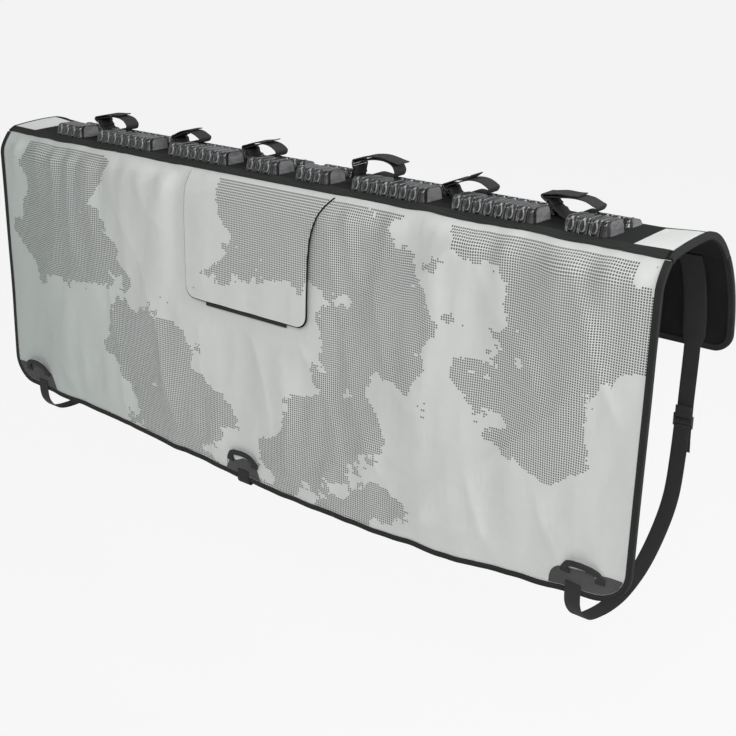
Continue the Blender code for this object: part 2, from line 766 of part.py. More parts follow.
def bike_strap_path(strap):
    """Route of one strap: sewn tail, low bar, down to the top, over a block, loop, high bar, tip."""
    _, _, fall, end, height, tip_x, tip_z = strap
    fold, high, low, along, across = strap_frame(strap)
    base = GAP + STRAP_WEB / 2
    layer = STRAP_WEB + 2 * GAP
    tail = [low + reach * along + (layer - fold) * across for reach in (STRAP_TAIL, 0.007)]
    round_low = turn_points(low, fold, 90 - fall, 270 - fall)
    leave = low - fold * across
    straight = leave + 0.012 * along
    foot = straight.x + (straight.y - base) * along.x / -along.y + 0.004
    climb = STRAP_CLIMB
    middle = 0.5 * end
    rise = math.atan2(height - high.y, middle - high.x)
    run = Vector((math.cos(rise), math.sin(rise)))
    off = Vector((-math.sin(rise), math.cos(rise)))
    loop = smooth_path(
        [
            leave + 0.007 * along,
            straight,
            (foot - 0.003, base + 0.0012),
            (foot + 0.001, base),
            (foot + 0.006, base + 0.0016),
            (0.0205, climb - 0.0030),
            (0.0275, climb),
            (end - 0.014, climb + 0.0004),
            (end - 0.003, climb + 0.0042),
            (end, climb + 0.0110),
            (end - 0.006, height - 0.0065),
            (end - 0.020, height - 0.0010),
            (middle, height),
            high + 0.012 * run - 0.0008 * off,
        ],
        STRAP_STEPS,
    )
    turn = math.degrees(rise)
    round_high = turn_points(high, fold, 270 + turn, 90 + turn)
    above = min(middle, tip_x - 0.010)
    between = (high.x + above) / 2

    def chord(x):
        return high.y + (height - high.y) * (x - high.x) / (middle - high.x)

    over = smooth_path(
        [
            high + 0.009 * run + (fold + 0.0006) * off,
            (between, chord(between) + layer + 0.0030),
            (above, chord(above) + layer + 0.0018),
            (tip_x, tip_z),
        ],
        STRAP_STEPS,
    )
    return [*tail, *round_low, *loop, *round_high, *over]


def make_ring(name, material):
    """A wire ring with rounded corners, in its own plane: x across the webbing, y up the ring."""
    radius = RING_CORNER_R
    wide = STRAP_WIDTH / 2 + RING_SIDE_ROOM + radius
    tall = RING_LENGTH / 2
    outline = []
    for x, y, start in ((1, 1, 0), (-1, 1, 90), (-1, -1, 180), (1, -1, 270)):
        centre = (x * (wide - radius), y * (tall - radius))
        outline += turn_points(centre, radius, start, start + 90, 2)
    curve = bpy.data.curves.new(name, "CURVE")
    curve.dimensions = "3D"
    curve.bevel_depth = RING_WIRE / 2
    curve.bevel_resolution = 1
    curve.materials.append(material)
    spline = curve.splines.new("POLY")
    spline.points.add(len(outline) - 1)
    for point, (x, y) in zip(spline.points, outline):
        point.co = (x, y, 0.0, 1.0)
    spline.use_cyclic_u = True
    ring = bpy.data.objects.new(name, curve)
    PARTS.objects.link(ring)
    ring.parent = ROOT
    return ring


def make_bike_straps():
    """Six straps that stand in the groove, each in its upright plane behind a gap."""
    _, spaces = block_places()
    stand = Euler((math.pi / 2, 0.0, 0.0)).to_matrix().to_4x4()
    across = Euler((0.0, math.pi / 2, 0.0)).to_matrix().to_4x4()
    for number, (space, strap) in enumerate(zip(spaces, BIKE_STRAPS), start=1):
        mesh = ribbon_mesh(bike_strap_path(strap), STRAP_WIDTH, STRAP_WEB)
        webbing = add_object(f"bike_strap_{number}", mesh, WEBBING)
        place = Matrix.Translation((space, STRAP_Y, DECK_TOP)) @ stand
        webbing.matrix_world = place
        ring = make_ring(f"strap_ring_{number}", BLACK_PLASTIC)
        _, high, low, _, _ = strap_frame(strap)
        middle = (high + low) / 2
        tilt = Matrix.Rotation(math.radians(90 - strap[2]), 4, "Z")
        ring.matrix_world = place @ Matrix.Translation((middle.x, middle.y, 0.0)) @ tilt @ across


# Access flap


def flap_hem(x):
    past = max(abs(x - FLAP_X) - (FLAP_HALF - FLAP_CORNER_R), 0.0)
    radius = FLAP_CORNER_R
    return FLAP_DROP - (radius - math.sqrt(max(radius * radius - past * past, 0.0)))


def flap_x(side, drop):
    """Edge of the flap at a distance down: its right edge spreads towards the crease."""
    spread = FLAP_TOP_SPREAD * math.exp(-drop / FLAP_SPREAD_RUN) if side > 0 else 0.0
    return FLAP_X + side * FLAP_HALF + spread


def flap_lift(drop):
    return GAP + FLAP_LIFT * smooth_step(drop / 0.10)


def flap_rows(x):
    """Distances down the flap at x: the shoulder's rows, then even ones to its rounded hem."""
    rows = shoulder_rows(FLAP_START)
    hem = flap_hem(x)
    return rows + [rows[-1] + (hem - rows[-1]) * k / 4 for k in range(1, 5)]


def make_access_flap():
    """A flap sewn under the crease, closed by hook-and-loop tape, with a pull strip at its foot."""
    stations = rounded_stations(FLAP_HALF, FLAP_CORNER_R, 6)
    columns = len(stations) - 1
    rows = len(flap_rows(FLAP_X)) - 1
    outer = FLAP_BACKING + GAP + TARPAULIN
    layers = (
        ("flap_backing", FLAP_BACKING, FLAP_BACKING, BLACK_LINING),
        ("access_flap", outer, TARPAULIN, PALE_TARPAULIN),
    )
    for name, out, thickness, material in layers:

        def place(u, v, out=out):
            across = stations[round(u * columns)]
            drop = flap_rows(FLAP_X + across)[rows - round(v * rows)]
            spread = flap_x(1, drop) - FLAP_X - FLAP_HALF
            x = FLAP_X + across + spread * (across / FLAP_HALF + 1) / 2
            return front_point(x, drop, flap_lift(drop) + out)

        sheet(name, columns, rows, place, thickness, -1, material)

    hook_half = FLAP_HALF - 2 * FLAP_CORNER_R
    hook_low = FLAP_DROP - PULL_STRIP_TUCK - 0.004

    def strip(half, low, high, out):
        def place(u, v):
            drop = low + v * (high - low)
            return front_point(FLAP_X + half * (2 * u - 1), drop, out)

        return place

    hook_high = hook_low - HOOK_TAPE_WIDTH
    at_panel = GAP + HOOK_TAPE
    sheet(
        "flap_hook_tape", 8, 1, strip(hook_half, hook_low, hook_high, at_panel), HOOK_TAPE, -1, WEBBING
    )
    at_flap = FLAP_LIFT
    sheet(
        "flap_loop_tape", 8, 1, strip(hook_half, hook_low, hook_high, at_flap), HOOK_TAPE, -1, WEBBING
    )
    pull_low = FLAP_DROP + PULL_STRIP_SHOWS
    pull_high = FLAP_DROP - PULL_STRIP_TUCK
    sheet(
        "flap_pull_strip",
        8,
        1,
        strip(PULL_STRIP_LENGTH / 2, pull_low, pull_high, at_flap),
        HANDLE_WEB,
        -1,
        WEBBING,
    )


# Hem patches, handles and tie-down straps


def make_patch(name, low, high):
    """A patch over the hem's edge tape, from x low to x high, with slanted flanks."""
    inset = TAPE_FACE + PATCH_ROOM

    def place(u, v):
        left = low + (PATCH_SLANT * v if low > FRONT_CORNER_R - HALF else 0.0)
        right = high - (PATCH_SLANT * v if high < HALF - FRONT_CORNER_R else 0.0)
        x = left + u * (right - left)
        foot = hem_drop(x, inset)
        head = hem_line(x) - inset - PATCH_HEIGHT - 0.006 * math.sin(math.pi * u)
        return front_point(x, foot + v * (head - foot), GAP)

    sheet(name, 12, 2, place, PATCH, 1, PATCH_FABRIC)


def make_handle(name, middle):
    """A webbing arch, sewn flat at both feet and standing off the sheet between them."""
    out = GAP + PATCH + GAP + HANDLE_WEB / 2
    half = HANDLE_SPAN / 2
    outline = smooth_path(
        [
            (-half, out),
            (-half + HANDLE_FOOT, out),
            (-half + HANDLE_FOOT + 0.006, out + 0.45 * HANDLE_BULGE),
            (-0.012, out + HANDLE_BULGE),
            (0.012, out + HANDLE_BULGE),
            (half - HANDLE_FOOT - 0.006, out + 0.45 * HANDLE_BULGE),
            (half - HANDLE_FOOT, out),
            (half, out),
        ],
        2,
    )
    columns = len(outline) - 1
    top = TAPE_FACE + PATCH_HEIGHT + 0.008

    def place(u, v):
        x, off = outline[round(u * columns)]
        foot = abs(x) > half - HANDLE_FOOT - 1e-6
        drop = hem_line(middle) - top + (1 - v) * HANDLE_WIDTH - (0.0 if foot else 0.003)
        return front_point(middle + x, drop, max(off, out))

    sheet(name, columns, 1, place, HANDLE_WEB, 0, WEBBING)


def slider_bars():
    """Heights of a slider's lower and upper bars."""
    return SLIDER_Z, SLIDER_Z + SLIDER_BARS


def slider_fold():
    """Radius at which webbing folds round a square bar, corners and flat steps allowed for."""
    corner = math.hypot(SLIDER_BAR / 2, SLIDER_BAR / 2)
    return (corner + GAP + TIE_WEB / 2) / math.cos(0.5 * math.pi / TURN_STEPS)


def tie_strap_path(middle, taut):
    """Route of a tie-down strap in YZ: patch, hem, sag under the tailgate, slider and tail."""
    out = TAPE_CLEARANCE + TAPE + GAP + TIE_WEB / 2
    foot = hem_line(middle)
    sewn = front_point(middle, foot - TAPE_FACE - TIE_SEWN, out)
    hem = front_point(middle, foot - 0.004, out)
    fold = slider_fold()
    low, _ = slider_bars()
    side = -1 if taut else 1
    rear = SLIDER_Y + side * fold
    if taut:
        sag = [
            (hem.y, hem.z - 0.008),
            (hem.y + 0.006, hem.z - 0.015),
            (hem.y + 0.022, hem.z - 0.010),
            (-0.060, hem.z + 0.036),
            (0.080, hem.z + 0.148),
            (rear - 0.018, low - 0.030),
        ]
    else:
        sag = [
            (hem.y, hem.z - 0.008),
            (hem.y + 0.003, hem.z - 0.028),
            (-0.116, hem.z - 0.057),
            (-0.067, hem.z - 0.071),
            (-0.010, hem.z - 0.068),
            (0.050, hem.z - 0.040),
            (0.102, hem.z + 0.012),
            (0.140, hem.z + 0.076),
            (rear - 0.004, hem.z + 0.150),
        ]
    run = smooth_path([(sewn.y, sewn.z), (hem.y, hem.z), *sag, (rear, low)], 3)
    turn = turn_points((SLIDER_Y, low), fold, 90 - side * 90, 90 + side * 90)
    tail = [
        (SLIDER_Y - side * (fold + 0.0015), low - 0.5 * TIE_TAIL),
        (SLIDER_Y - side * (fold + 0.0040), low - TIE_TAIL),
    ]
    return [tuple(p) for p in run] + turn[1:] + tail


def hanging_ribbon(name, path, centre, width, web):
    """A webbing strip whose width lies along X, from its route in YZ and its own centre line."""
    columns = len(path) - 1

    def place(u, v):
        index = round(u * columns)
        y, z = path[index]
        return Vector((centre(index / columns) + (v - 0.5) * width(z), y, z))

    return sheet(name, columns, 1, place, web, 0, WEBBING)


def buckle_web_path():
    """Route of the short web in YZ: sewn return, upper bar, back hem and the flap's inner face."""
    fold = slider_fold()
    _, high = slider_bars()
    off = -(BACK_SHEET + TAPE_CLEARANCE + TAPE + GAP + TIE_WEB / 2)
    near = -(BACK_SHEET + GAP + TIE_WEB / 2)
    back = [(SLIDER_Y - fold, high + WEB_RETURN)]
    turn = turn_points((SLIDER_Y, high), fold, 180, 360)
    hem = back_point(0.0, -BACK_DROP, off)
    lip = back_point(0.0, -BACK_DROP + TAPE_FACE + 0.001, off)
    rise = [(SLIDER_Y + fold, high + 0.030), (hem.y, -BACK_DROP - 0.020), (hem.y, hem.z)]
    rise.append((lip.y, lip.z))
    heights = [z for z in reversed(back_rows()) if lip.z + 0.008 < z < WEB_TOP_Z]
    sewn = [back_point(0.0, z, near) for z in [lip.z + 0.008, *heights]]
    return back + turn + rise + [(point.y, point.z) for point in sewn]


def slider_mesh():
    """A three-bar slider: a rounded plate with two windows between its bars."""
    low, high = slider_bars()
    wide = TIE_WIDTH + 2 * SLIDER_SIDE_ROOM + 2 * SLIDER_SIDE
    tall = SLIDER_BARS + SLIDER_BAR
    window = (SLIDER_BARS - 2 * SLIDER_BAR) / 2
    mesh = bpy.data.meshes.new("slider")
    plate = bmesh.new()
    bmesh.ops.create_cube(plate, size=1.0)
    bmesh.ops.scale(plate, vec=(wide, SLIDER_BAR, tall), verts=plate.verts)
    bmesh.ops.bevel(
        plate, geom=list(plate.edges), offset=0.0008, segments=1, affect="EDGES", profile=0.5
    )
    plate.to_mesh(mesh)
    plate.free()
    body = add_object("slider_blank", mesh, BLACK_PLASTIC, CUTTERS)
    for side in (-1, 1):
        hole_mesh = bpy.data.meshes.new("slider_window")
        hole = bmesh.new()
        bmesh.ops.create_cube(hole, size=1.0)
        bmesh.ops.scale(
            hole, vec=(wide - 2 * SLIDER_SIDE, 3 * SLIDER_BAR, window), verts=hole.verts
        )
        hole.to_mesh(hole_mesh)
        hole.free()
        cutter = add_object(f"slider_window_{side}", hole_mesh, BLACK_PLASTIC, CUTTERS)
        cutter.location.z = side * (SLIDER_BARS / 2 - SLIDER_BAR / 2 - window / 2)
        cutter.hide_render = True
        cutter.display_type = "WIRE"
        cut(body, cutter)
    bpy.context.view_layer.update()
    done = baked_mesh(body)
    bpy.data.objects.remove(body)
    return done


def make_hem_fittings():
    """Three sets of patch, handle, tie-down strap, slider and buckle web along the hem."""
    end = HALF - TAPE_FACE - 3 * PATCH_ROOM
    mesh = slider_mesh()
    sets = (
        ("left", -end, -end + END_PATCH_WIDTH, -END_HANDLE_X, -END_STRAP_X, -TIE_DRIFT, False),
        (
            "middle",
            MIDDLE_STRAP_X - MIDDLE_PATCH_WIDTH / 2,
            MIDDLE_STRAP_X + MIDDLE_PATCH_WIDTH / 2,
            MIDDLE_STRAP_X,
            MIDDLE_STRAP_X,
            0.0,
            True,
        ),
        ("right", end - END_PATCH_WIDTH, end, END_HANDLE_X, END_STRAP_X, TIE_DRIFT, False),
    )
    for name, low, high, handle_x, strap_x, drift, taut in sets:
        make_patch(f"hem_patch_{name}", low, high)
        make_handle(f"grab_handle_{name}", handle_x)
        rear_x = strap_x + drift

        def centre(t, strap_x=strap_x, drift=drift):
            return strap_x + drift * smooth_step((t - 0.2) / 0.5)

        path = tie_strap_path(strap_x, taut)
        hanging_ribbon(f"tie_strap_{name}", path, centre, lambda z: TIE_WIDTH, TIE_WEB)

        def web_width(z):
            wide = smooth_step((z + BACK_DROP - 0.004) / 0.012)
            return TIE_WIDTH + (WEB_WIDE - TIE_WIDTH) * wide

        hanging_ribbon(
            f"buckle_web_{name}", buckle_web_path(), lambda t, x=rear_x: x, web_width, TIE_WEB
        )
        slider = add_object(f"strap_slider_{name}", mesh, BLACK_PLASTIC)
        slider.location = (rear_x, SLIDER_Y, SLIDER_Z + SLIDER_BARS / 2)


def main():
    make_front_sheets()
    make_front_tape()
    make_deck()
    make_deck_end_tapes()
    make_crease_tape()
    make_end_panels()
    make_back_flap()
    make_blocks()
    make_bike_straps()
    make_access_flap()
    make_hem_fittings()


main()
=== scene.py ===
"""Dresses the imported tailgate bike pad: printed tarpaulin, padded top, rest blocks and webbing."""

from math import asin, atan2, copysign, cos, degrees, exp, hypot, pi, radians, sin, sqrt

import bpy
from bpy.props import FloatProperty, FloatVectorProperty, PointerProperty
from mathutils import Matrix, Vector, noise


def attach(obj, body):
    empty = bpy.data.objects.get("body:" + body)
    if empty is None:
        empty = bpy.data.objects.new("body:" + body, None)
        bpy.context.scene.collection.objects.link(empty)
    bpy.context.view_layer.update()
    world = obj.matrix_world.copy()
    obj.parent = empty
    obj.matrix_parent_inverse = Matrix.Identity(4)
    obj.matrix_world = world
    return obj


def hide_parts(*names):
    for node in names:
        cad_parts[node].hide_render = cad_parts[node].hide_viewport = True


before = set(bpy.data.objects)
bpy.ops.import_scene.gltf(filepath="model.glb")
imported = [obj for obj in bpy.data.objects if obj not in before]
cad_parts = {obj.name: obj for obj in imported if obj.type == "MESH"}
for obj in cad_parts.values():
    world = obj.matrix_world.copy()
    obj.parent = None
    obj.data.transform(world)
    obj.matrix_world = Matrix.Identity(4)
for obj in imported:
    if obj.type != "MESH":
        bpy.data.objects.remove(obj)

bl_info = {
    "name": "Tailgate bike pad",
    "version": (1, 0, 0),
    "blender": (4, 5, 0),
    "location": "View3D > Sidebar > Bike pad",
    "description": "Soft tailgate cover with rest blocks, bike straps and tie-down straps",
    "category": "Object",
}

# Sewn cover, as in the part
PAD_WIDTH = 1.600
HALF = PAD_WIDTH / 2
FRONT_DROP = 0.571
BACK_DROP = 0.222
GAP = 0.0003
CREASE_Y, CREASE_Z = -0.095, 0.002
SHOULDER_OUT, SHOULDER_DROP = 0.024, 0.046
FRONT_FLARE = 0.018
HEM_BOW, HEM_SKEW = 0.042, 0.010
FRONT_CORNER_R, BACK_CORNER_R = 0.055, 0.032
TARPAULIN, LINING = 0.0012, 0.0040
WAVE_DEPTH, WAVE_PITCH, WAVE_MARGIN, WAVE_FADE = 0.0035, 0.290, 0.055, 0.090
DECK_TOP, DECK_PAD = 0.009, 0.009
RAMP_RUN, DECK_SETBACK = 0.0165, 0.0018
DECK_FLAT_END, DECK_REAR = 0.030, 0.120
END_RISE, END_RISE_RUN = 0.007, 0.100
ROLL_RUN, ROLL_FALL, SEAM_GAP = 0.144, 0.220, 0.0012
BACK_SHEET = 0.005
TAPE, TAPE_FACE, DECK_TAPE_FACE, TAPE_CLEARANCE = 0.0012, 0.009, 0.0050, 0.0004
CREASE_TAPE_WIDTH = 0.0180
END_PANEL_WIDTH, END_PANEL_RUN, END_PANEL_BACK, END_PANEL = 0.065, 0.105, 0.030, 0.0009

# Rest blocks
RIB_PITCH, RIB_RISE = 0.021, 0.0030
END_LEFT, END_RIGHT, END_LEAN = 0.0040, 0.0165, 0.0050
CORNER_SETBACK, END_SLANT = 0.012, 0.0040
BLOCK_GAP, MIDDLE_GAP, BLOCK_SHIFT = 0.0495, 0.0425, 0.0135
FRONT_BLOCK_Y, FRONT_BLOCK_DEPTH = -0.0725, 0.050
BACK_BLOCK_Y, BACK_BLOCK_DEPTH = 0.0, 0.036
FRONT_BLOCK_HEIGHTS, BACK_BLOCK_HEIGHTS = (0.0210, 0.0195), (0.0125, 0.0070)
BLOCK_INSETS, BLOCK_EDGES = (0.004, 0.003), (0.0070, 0.0030)
RIB_COUNTS = (3, 7, 7, 3, 3, 7, 7, 3)

# Bike straps and their rings
STRAP_WIDTH, STRAP_WEB = 0.034, 0.0020
STRAP_Y = FRONT_BLOCK_Y + FRONT_BLOCK_DEPTH + 0.006 + STRAP_WIDTH / 2
STRAP_CLIMB = BACK_BLOCK_HEIGHTS[0] + RIB_RISE + 2 * GAP + STRAP_WEB / 2
RING_WIRE, RING_LENGTH, RING_CORNER, RING_ROOM = 0.0030, 0.012, 0.0030, 0.0008
RING_PLATE = (0.0036, 0.0022)
BIKE_STRAPS = (
    # ring's place and height, fall of the web in degrees, loop's end and height, tip's place and height
    (-0.0400, 0.0345, 38, 0.058, 0.0430, 0.036, 0.0480),
    (-0.0180, 0.0225, 38, 0.061, 0.0380, 0.037, 0.0425),
    (-0.0330, 0.0270, 40, 0.054, 0.0400, 0.036, 0.0470),
    (-0.0120, 0.0370, 80, 0.082, 0.0465, 0.090, 0.0440),
    (-0.0275, 0.0215, 37, 0.065, 0.0390, 0.030, 0.0475),
    (-0.0470, 0.0335, 34, 0.052, 0.0370, 0.018, 0.0415),
)

# Access flap
FLAP_X, FLAP_HALF, FLAP_DROP, FLAP_START = -0.047, 0.158, 0.251, 0.005
FLAP_TOP_SPREAD, FLAP_SPREAD_RUN, FLAP_CORNER_R = 0.050, 0.045, 0.022
FLAP_LIFT, FLAP_BACKING = 0.0036, 0.0016
PULL_STRIP, PULL_STRIP_LENGTH, PULL_STRIP_SHOWS, PULL_STRIP_TUCK = 0.0020, 0.214, 0.011, 0.012
WINDOW_WIDTH, WINDOW_TOP, WINDOW_HEIGHT, WINDOW_R = 0.210, 0.060, 0.130, 0.020

# Hem fittings
PATCH, PATCH_HEIGHT, PATCH_ROOM, PATCH_SLANT = 0.0010, 0.032, 0.0015, 0.016
END_PATCH_WIDTH, MIDDLE_PATCH_WIDTH = 0.134, 0.096
MIDDLE_STRAP_X, END_STRAP_X, END_HANDLE_X = -0.060, 0.700, 0.716
HANDLE_FOOT, HANDLE_GRIP, HANDLE_WEB = 0.0180, 0.0105, 0.0036
# half of the arch: distance from its middle, height over the feet and share of the bulge
HANDLE_BULGE = 0.006
HANDLE_ARCH = (
    (0.0330, -0.0100, 0.0),
    (0.0330, -0.0010, 0.1),
    (0.0290, 0.0080, 0.6),
    (0.0200, 0.0130, 0.9),
    (0.0080, 0.0145, 1.0),
)
TIE_WIDTH, TIE_WEB, TIE_SEWN, TIE_DRIFT, TIE_TAIL = 0.030, 0.0016, 0.0110, 0.033, 0.050
SLIDER_Z, SLIDER_Y, SLIDER_BARS, SLIDER_BAR = -0.372, 0.160, 0.021, 0.0030
GRIP_PAST, GRIP_DEEP, GRIP_ROOM = 0.0030, 0.0046, 0.0048
WEB_TOP_Z, WEB_WIDE, WEB_RETURN = -0.045, 0.042, 0.018


def length_property(name, description, default):
    return FloatProperty(name=name, description=description, default=default, unit="LENGTH")


def colour_property(name, description, default):
    return FloatVectorProperty(name=name, description=description, default=default, subtype="COLOR")


class PadLook(bpy.types.PropertyGroup):
    """Sizes and colours that a user would change."""

    dot_pitch: length_property("Dot pitch", "Distance between printed dots", 0.0043)
    dot_size: length_property("Dot size", "Side of a printed dot", 0.0027)
    crumple: length_property("Crumple", "Depth of the soft folds in the sheet", 0.0130)
    sheet_colour: colour_property("Sheet", "Colour of the tarpaulin", (0.610, 0.625, 0.600))
    print_colour: colour_property("Print", "Colour of the printed dots", (0.022, 0.023, 0.022))
    fabric_colour: colour_property("Fabric", "Colour of the padded top", (0.010, 0.0104, 0.0104))
    tape_colour: colour_property("Tape", "Colour of the edge tape", (0.016, 0.017, 0.016))
    rubber_colour: colour_property("Rubber", "Colour of the rest blocks", (0.020, 0.020, 0.021))
    webbing_colour: colour_property("Webbing", "Colour of all straps", (0.022, 0.022, 0.023))
    patch_colour: colour_property("Patch", "Colour of the hem patches", (0.085, 0.083, 0.085))


# Shader expressions


class Value:
    """A node's output, which takes part in Python expressions."""

    def __init__(self, tree, socket):
        self.tree = tree
        self.socket = socket

    def math(self, operation, *others):
        node = self.tree.nodes.new("ShaderNodeMath")
        node.operation = operation
        for slot, value in zip(node.inputs, (self, *others)):
            feed(self.tree, slot, value)
        return Value(self.tree, node.outputs[0])


def add_method(name, operation):
    setattr(Value, name, lambda self, *others: self.math(operation, *others))


for method, operation in {
    "__add__": "ADD",
    "__radd__": "ADD",
    "__sub__": "SUBTRACT",
    "__mul__": "MULTIPLY",
    "__truediv__": "DIVIDE",
    "__lt__": "LESS_THAN",
    "__gt__": "GREATER_THAN",
    "frac": "FRACT",
    "floor": "FLOOR",
    "size": "ABSOLUTE",
    "sine": "SINE",
    "larger": "MAXIMUM",
}.items():
    add_method(method, operation)


def feed(tree, slot, value):
    if isinstance(value, Value):
        tree.links.new(value.socket, slot)
    else:
        slot.default_value = value


class Finish:
    """A procedural material, with its constant sockets set on the shader itself."""

    def __init__(self, name, **constants):
        self.material = bpy.data.materials.new(name)
        self.material.use_nodes = True
        self.tree = self.material.node_tree
        self.shader = self.tree.nodes["Principled BSDF"]
        for socket, value in constants.items():
            self.shader.inputs[socket.replace("_", " ")].default_value = value

    def node(self, kind, settings=None, inputs=None, output=0):
        """Adds a node: its settings first, then the values or links of its sockets."""
        node = self.tree.nodes.new(kind)
        for key, value in (settings or {}).items():
            setattr(node, key, value)
        for slot, value in (inputs or {}).items():
            feed(self.tree, node.inputs[slot], value)
        return Value(self.tree, node.outputs[output])

    def painted(self, name):
        """A value that the piece's mesh carries at its points."""
        return self.node("ShaderNodeAttribute", {"attribute_name": name}, output="Fac")

    def across(self):
        """The piece's own coordinates along its surface, in metres."""
        flat = self.node("ShaderNodeUVMap", {"uv_map": "UVMap"})
        node = self.tree.nodes.new("ShaderNodeSeparateXYZ")
        feed(self.tree, node.inputs[0], flat)
        return Value(self.tree, node.outputs[0]), Value(self.tree, node.outputs[1])

    def point(self, x, y, z):
        return self.node("ShaderNodeCombineXYZ", inputs={0: x, 1: y, 2: z})

    def noise(self, scale, detail=2.0, rough=0.5, stretch=None, where=None):
        """Noise at a place, or else in the piece's own coordinates."""
        if where is None:
            where = self.node("ShaderNodeTexCoord", output="Object")
        if stretch:
            where = self.node("ShaderNodeVectorMath", {"operation": "MULTIPLY"}, {0: where, 1: stretch})
        sockets = {"Vector": where, "Scale": scale, "Detail": detail, "Roughness": rough}
        return self.node("ShaderNodeTexNoise", inputs=sockets)

    def ramp(self, value, low, high):
        """A soft rise from 0 to 1 between two values."""
        sockets = {0: value, 1: low, 2: high}
        return self.node("ShaderNodeMapRange", {"interpolation_type": "SMOOTHSTEP"}, sockets)

    def blend(self, factor, first, second):
        """A mix of two colours."""
        node = self.tree.nodes.new("ShaderNodeMix")
        node.data_type = "RGBA"
        feed(self.tree, node.inputs[0], factor)
        for slot, value in ((node.inputs[6], first), (node.inputs[7], second)):
            feed(self.tree, slot, value if isinstance(value, Value) else (*value, 1.0))
        return Value(self.tree, node.outputs[2])

    def surface(self, colour, roughness):
        feed(self.tree, self.shader.inputs["Base Color"], colour)
        feed(self.tree, self.shader.inputs["Roughness"], roughness)

    def bump(self, height, distance, strength):
        sockets = {"Height": height, "Distance": distance, "Strength": strength}
        normal = self.node("ShaderNodeBump", inputs=sockets)
        feed(self.tree, self.shader.inputs["Normal"], normal)


def shade(colour, factor):
    return tuple(min(channel * factor, 1.0) for channel in colour)


def weave(u, v, pitch):
    """Height of a plain weave: threads that pass over each other in turn."""
    turn = 2 * pi / pitch
    return (u * turn).sine() * (v * turn).sine()


# Print and cloth: the print's place in its noise, the level that it starts at, the strip left bare
PRINT_SEED, PRINT_LEVEL, PRINT_FROM = 2.63, 0.538, 0.008
SCRIM_PITCH = 0.0026
# painted shade: darker, greener colour for the sheet's left part
SHEET_PAINTED_SHADE = (0.430, 0.468, 0.440)
LINING_COLOUR = (0.008, 0.008, 0.008)
# light grey of the painted highlights on the rest blocks
RUBBER_HIGHLIGHT = (0.42, 0.42, 0.43)
PLASTIC, SCUFFED_PLASTIC = (0.017, 0.017, 0.018), (0.060, 0.060, 0.062)


def make_tarpaulin(look):
    """Coated tarpaulin with areas of square printed dots, cut off cell by cell."""
    finish = Finish("printed_tarpaulin", Specular_IOR_Level=0.40)
    u, v = finish.across()
    pitch = look.dot_pitch
    column, row = u / pitch, v / pitch
    near_u = (column.frac() - 0.5).size()
    near_v = (row.frac() - 0.5).size()
    half = look.dot_size / pitch / 2
    dot = near_u.larger(near_v) < half
    cell = finish.point(column.floor() * pitch, row.floor() * pitch, PRINT_SEED)
    land = finish.noise(3.3, 7.0, 0.58, (1.0, 1.2, 1.0), cell)
    coast = finish.noise(13.0, 3.0, 0.6, where=cell)
    # the print thins out towards both ends and both lower corners
    bare = finish.ramp(u.size(), 0.64, 0.79) * 0.20
    bare += finish.ramp(u, 0.16, 0.46) * finish.ramp(v, 0.34, 0.50) * 0.16
    bare += finish.ramp(u, -0.40, -0.60) * finish.ramp(v, 0.26, 0.38) * 0.16
    printed = (land + coast * 0.10 - bare) > PRINT_LEVEL
    ink = dot * printed * (v > PRINT_FROM)
    tone = finish.noise(1.6, 3.0, 0.5, (1.0, 1.0, 0.6))
    grime = finish.noise(38.0, 4.0, 0.6)
    # painted shade: the sheet turns darker and greener towards its left end and lower down
    left = finish.ramp(u - v * 0.35, -0.95, -0.30)
    dull = shade(look.sheet_colour, 0.93)
    pale = finish.blend(finish.ramp(tone, 0.35, 0.65), dull, look.sheet_colour)
    shaded_left = finish.blend(left, SHEET_PAINTED_SHADE, pale)
    worn = finish.blend(finish.ramp(grime, 0.3, 0.8) * 0.10, shaded_left, shade(look.sheet_colour, 0.72))
    inked = finish.blend(ink * 0.93, worn, tuple(look.print_colour))
    finish.surface(inked, 0.50 + grime * 0.12 + ink * 0.08)
    scrim = weave(u, v, SCRIM_PITCH) * 0.35 + finish.noise(900.0, 2.0)
    soft = finish.noise(26.0, 3.0, 0.55, (1.0, 1.0, 0.45))
    slack = finish.noise(8.5, 4.0, 0.6, (1.0, 1.0, 0.40))
    finish.bump(scrim * 0.03 + soft * 2.0 + slack * 7.0, 0.0012, 0.6)
    return finish.material


def make_fabric(name, colour, pitch, depth, variation=0.25, **constants):
    """Woven fabric, with its threads along the piece's own surface."""
    finish = Finish(name, **constants)
    u, v = finish.across()
    threads = weave(u, v, pitch)
    wear_and_highlight = finish.noise(14.0, 4.0, 0.6)
    fuzz = finish.noise(420.0, 2.0, 0.6)
    light = finish.ramp(wear_and_highlight, 0.3, 0.75) * variation + fuzz * 0.20 + threads * 0.10
    finish.surface(finish.blend(light, shade(colour, 0.72), shade(colour, 1.75)), 0.74 + fuzz * 0.18)
    folds = finish.noise(30.0, 3.0, 0.5)
    finish.bump(threads * depth + fuzz * 0.25 + folds * 1.2, 0.0009, 0.6)
    return finish.material


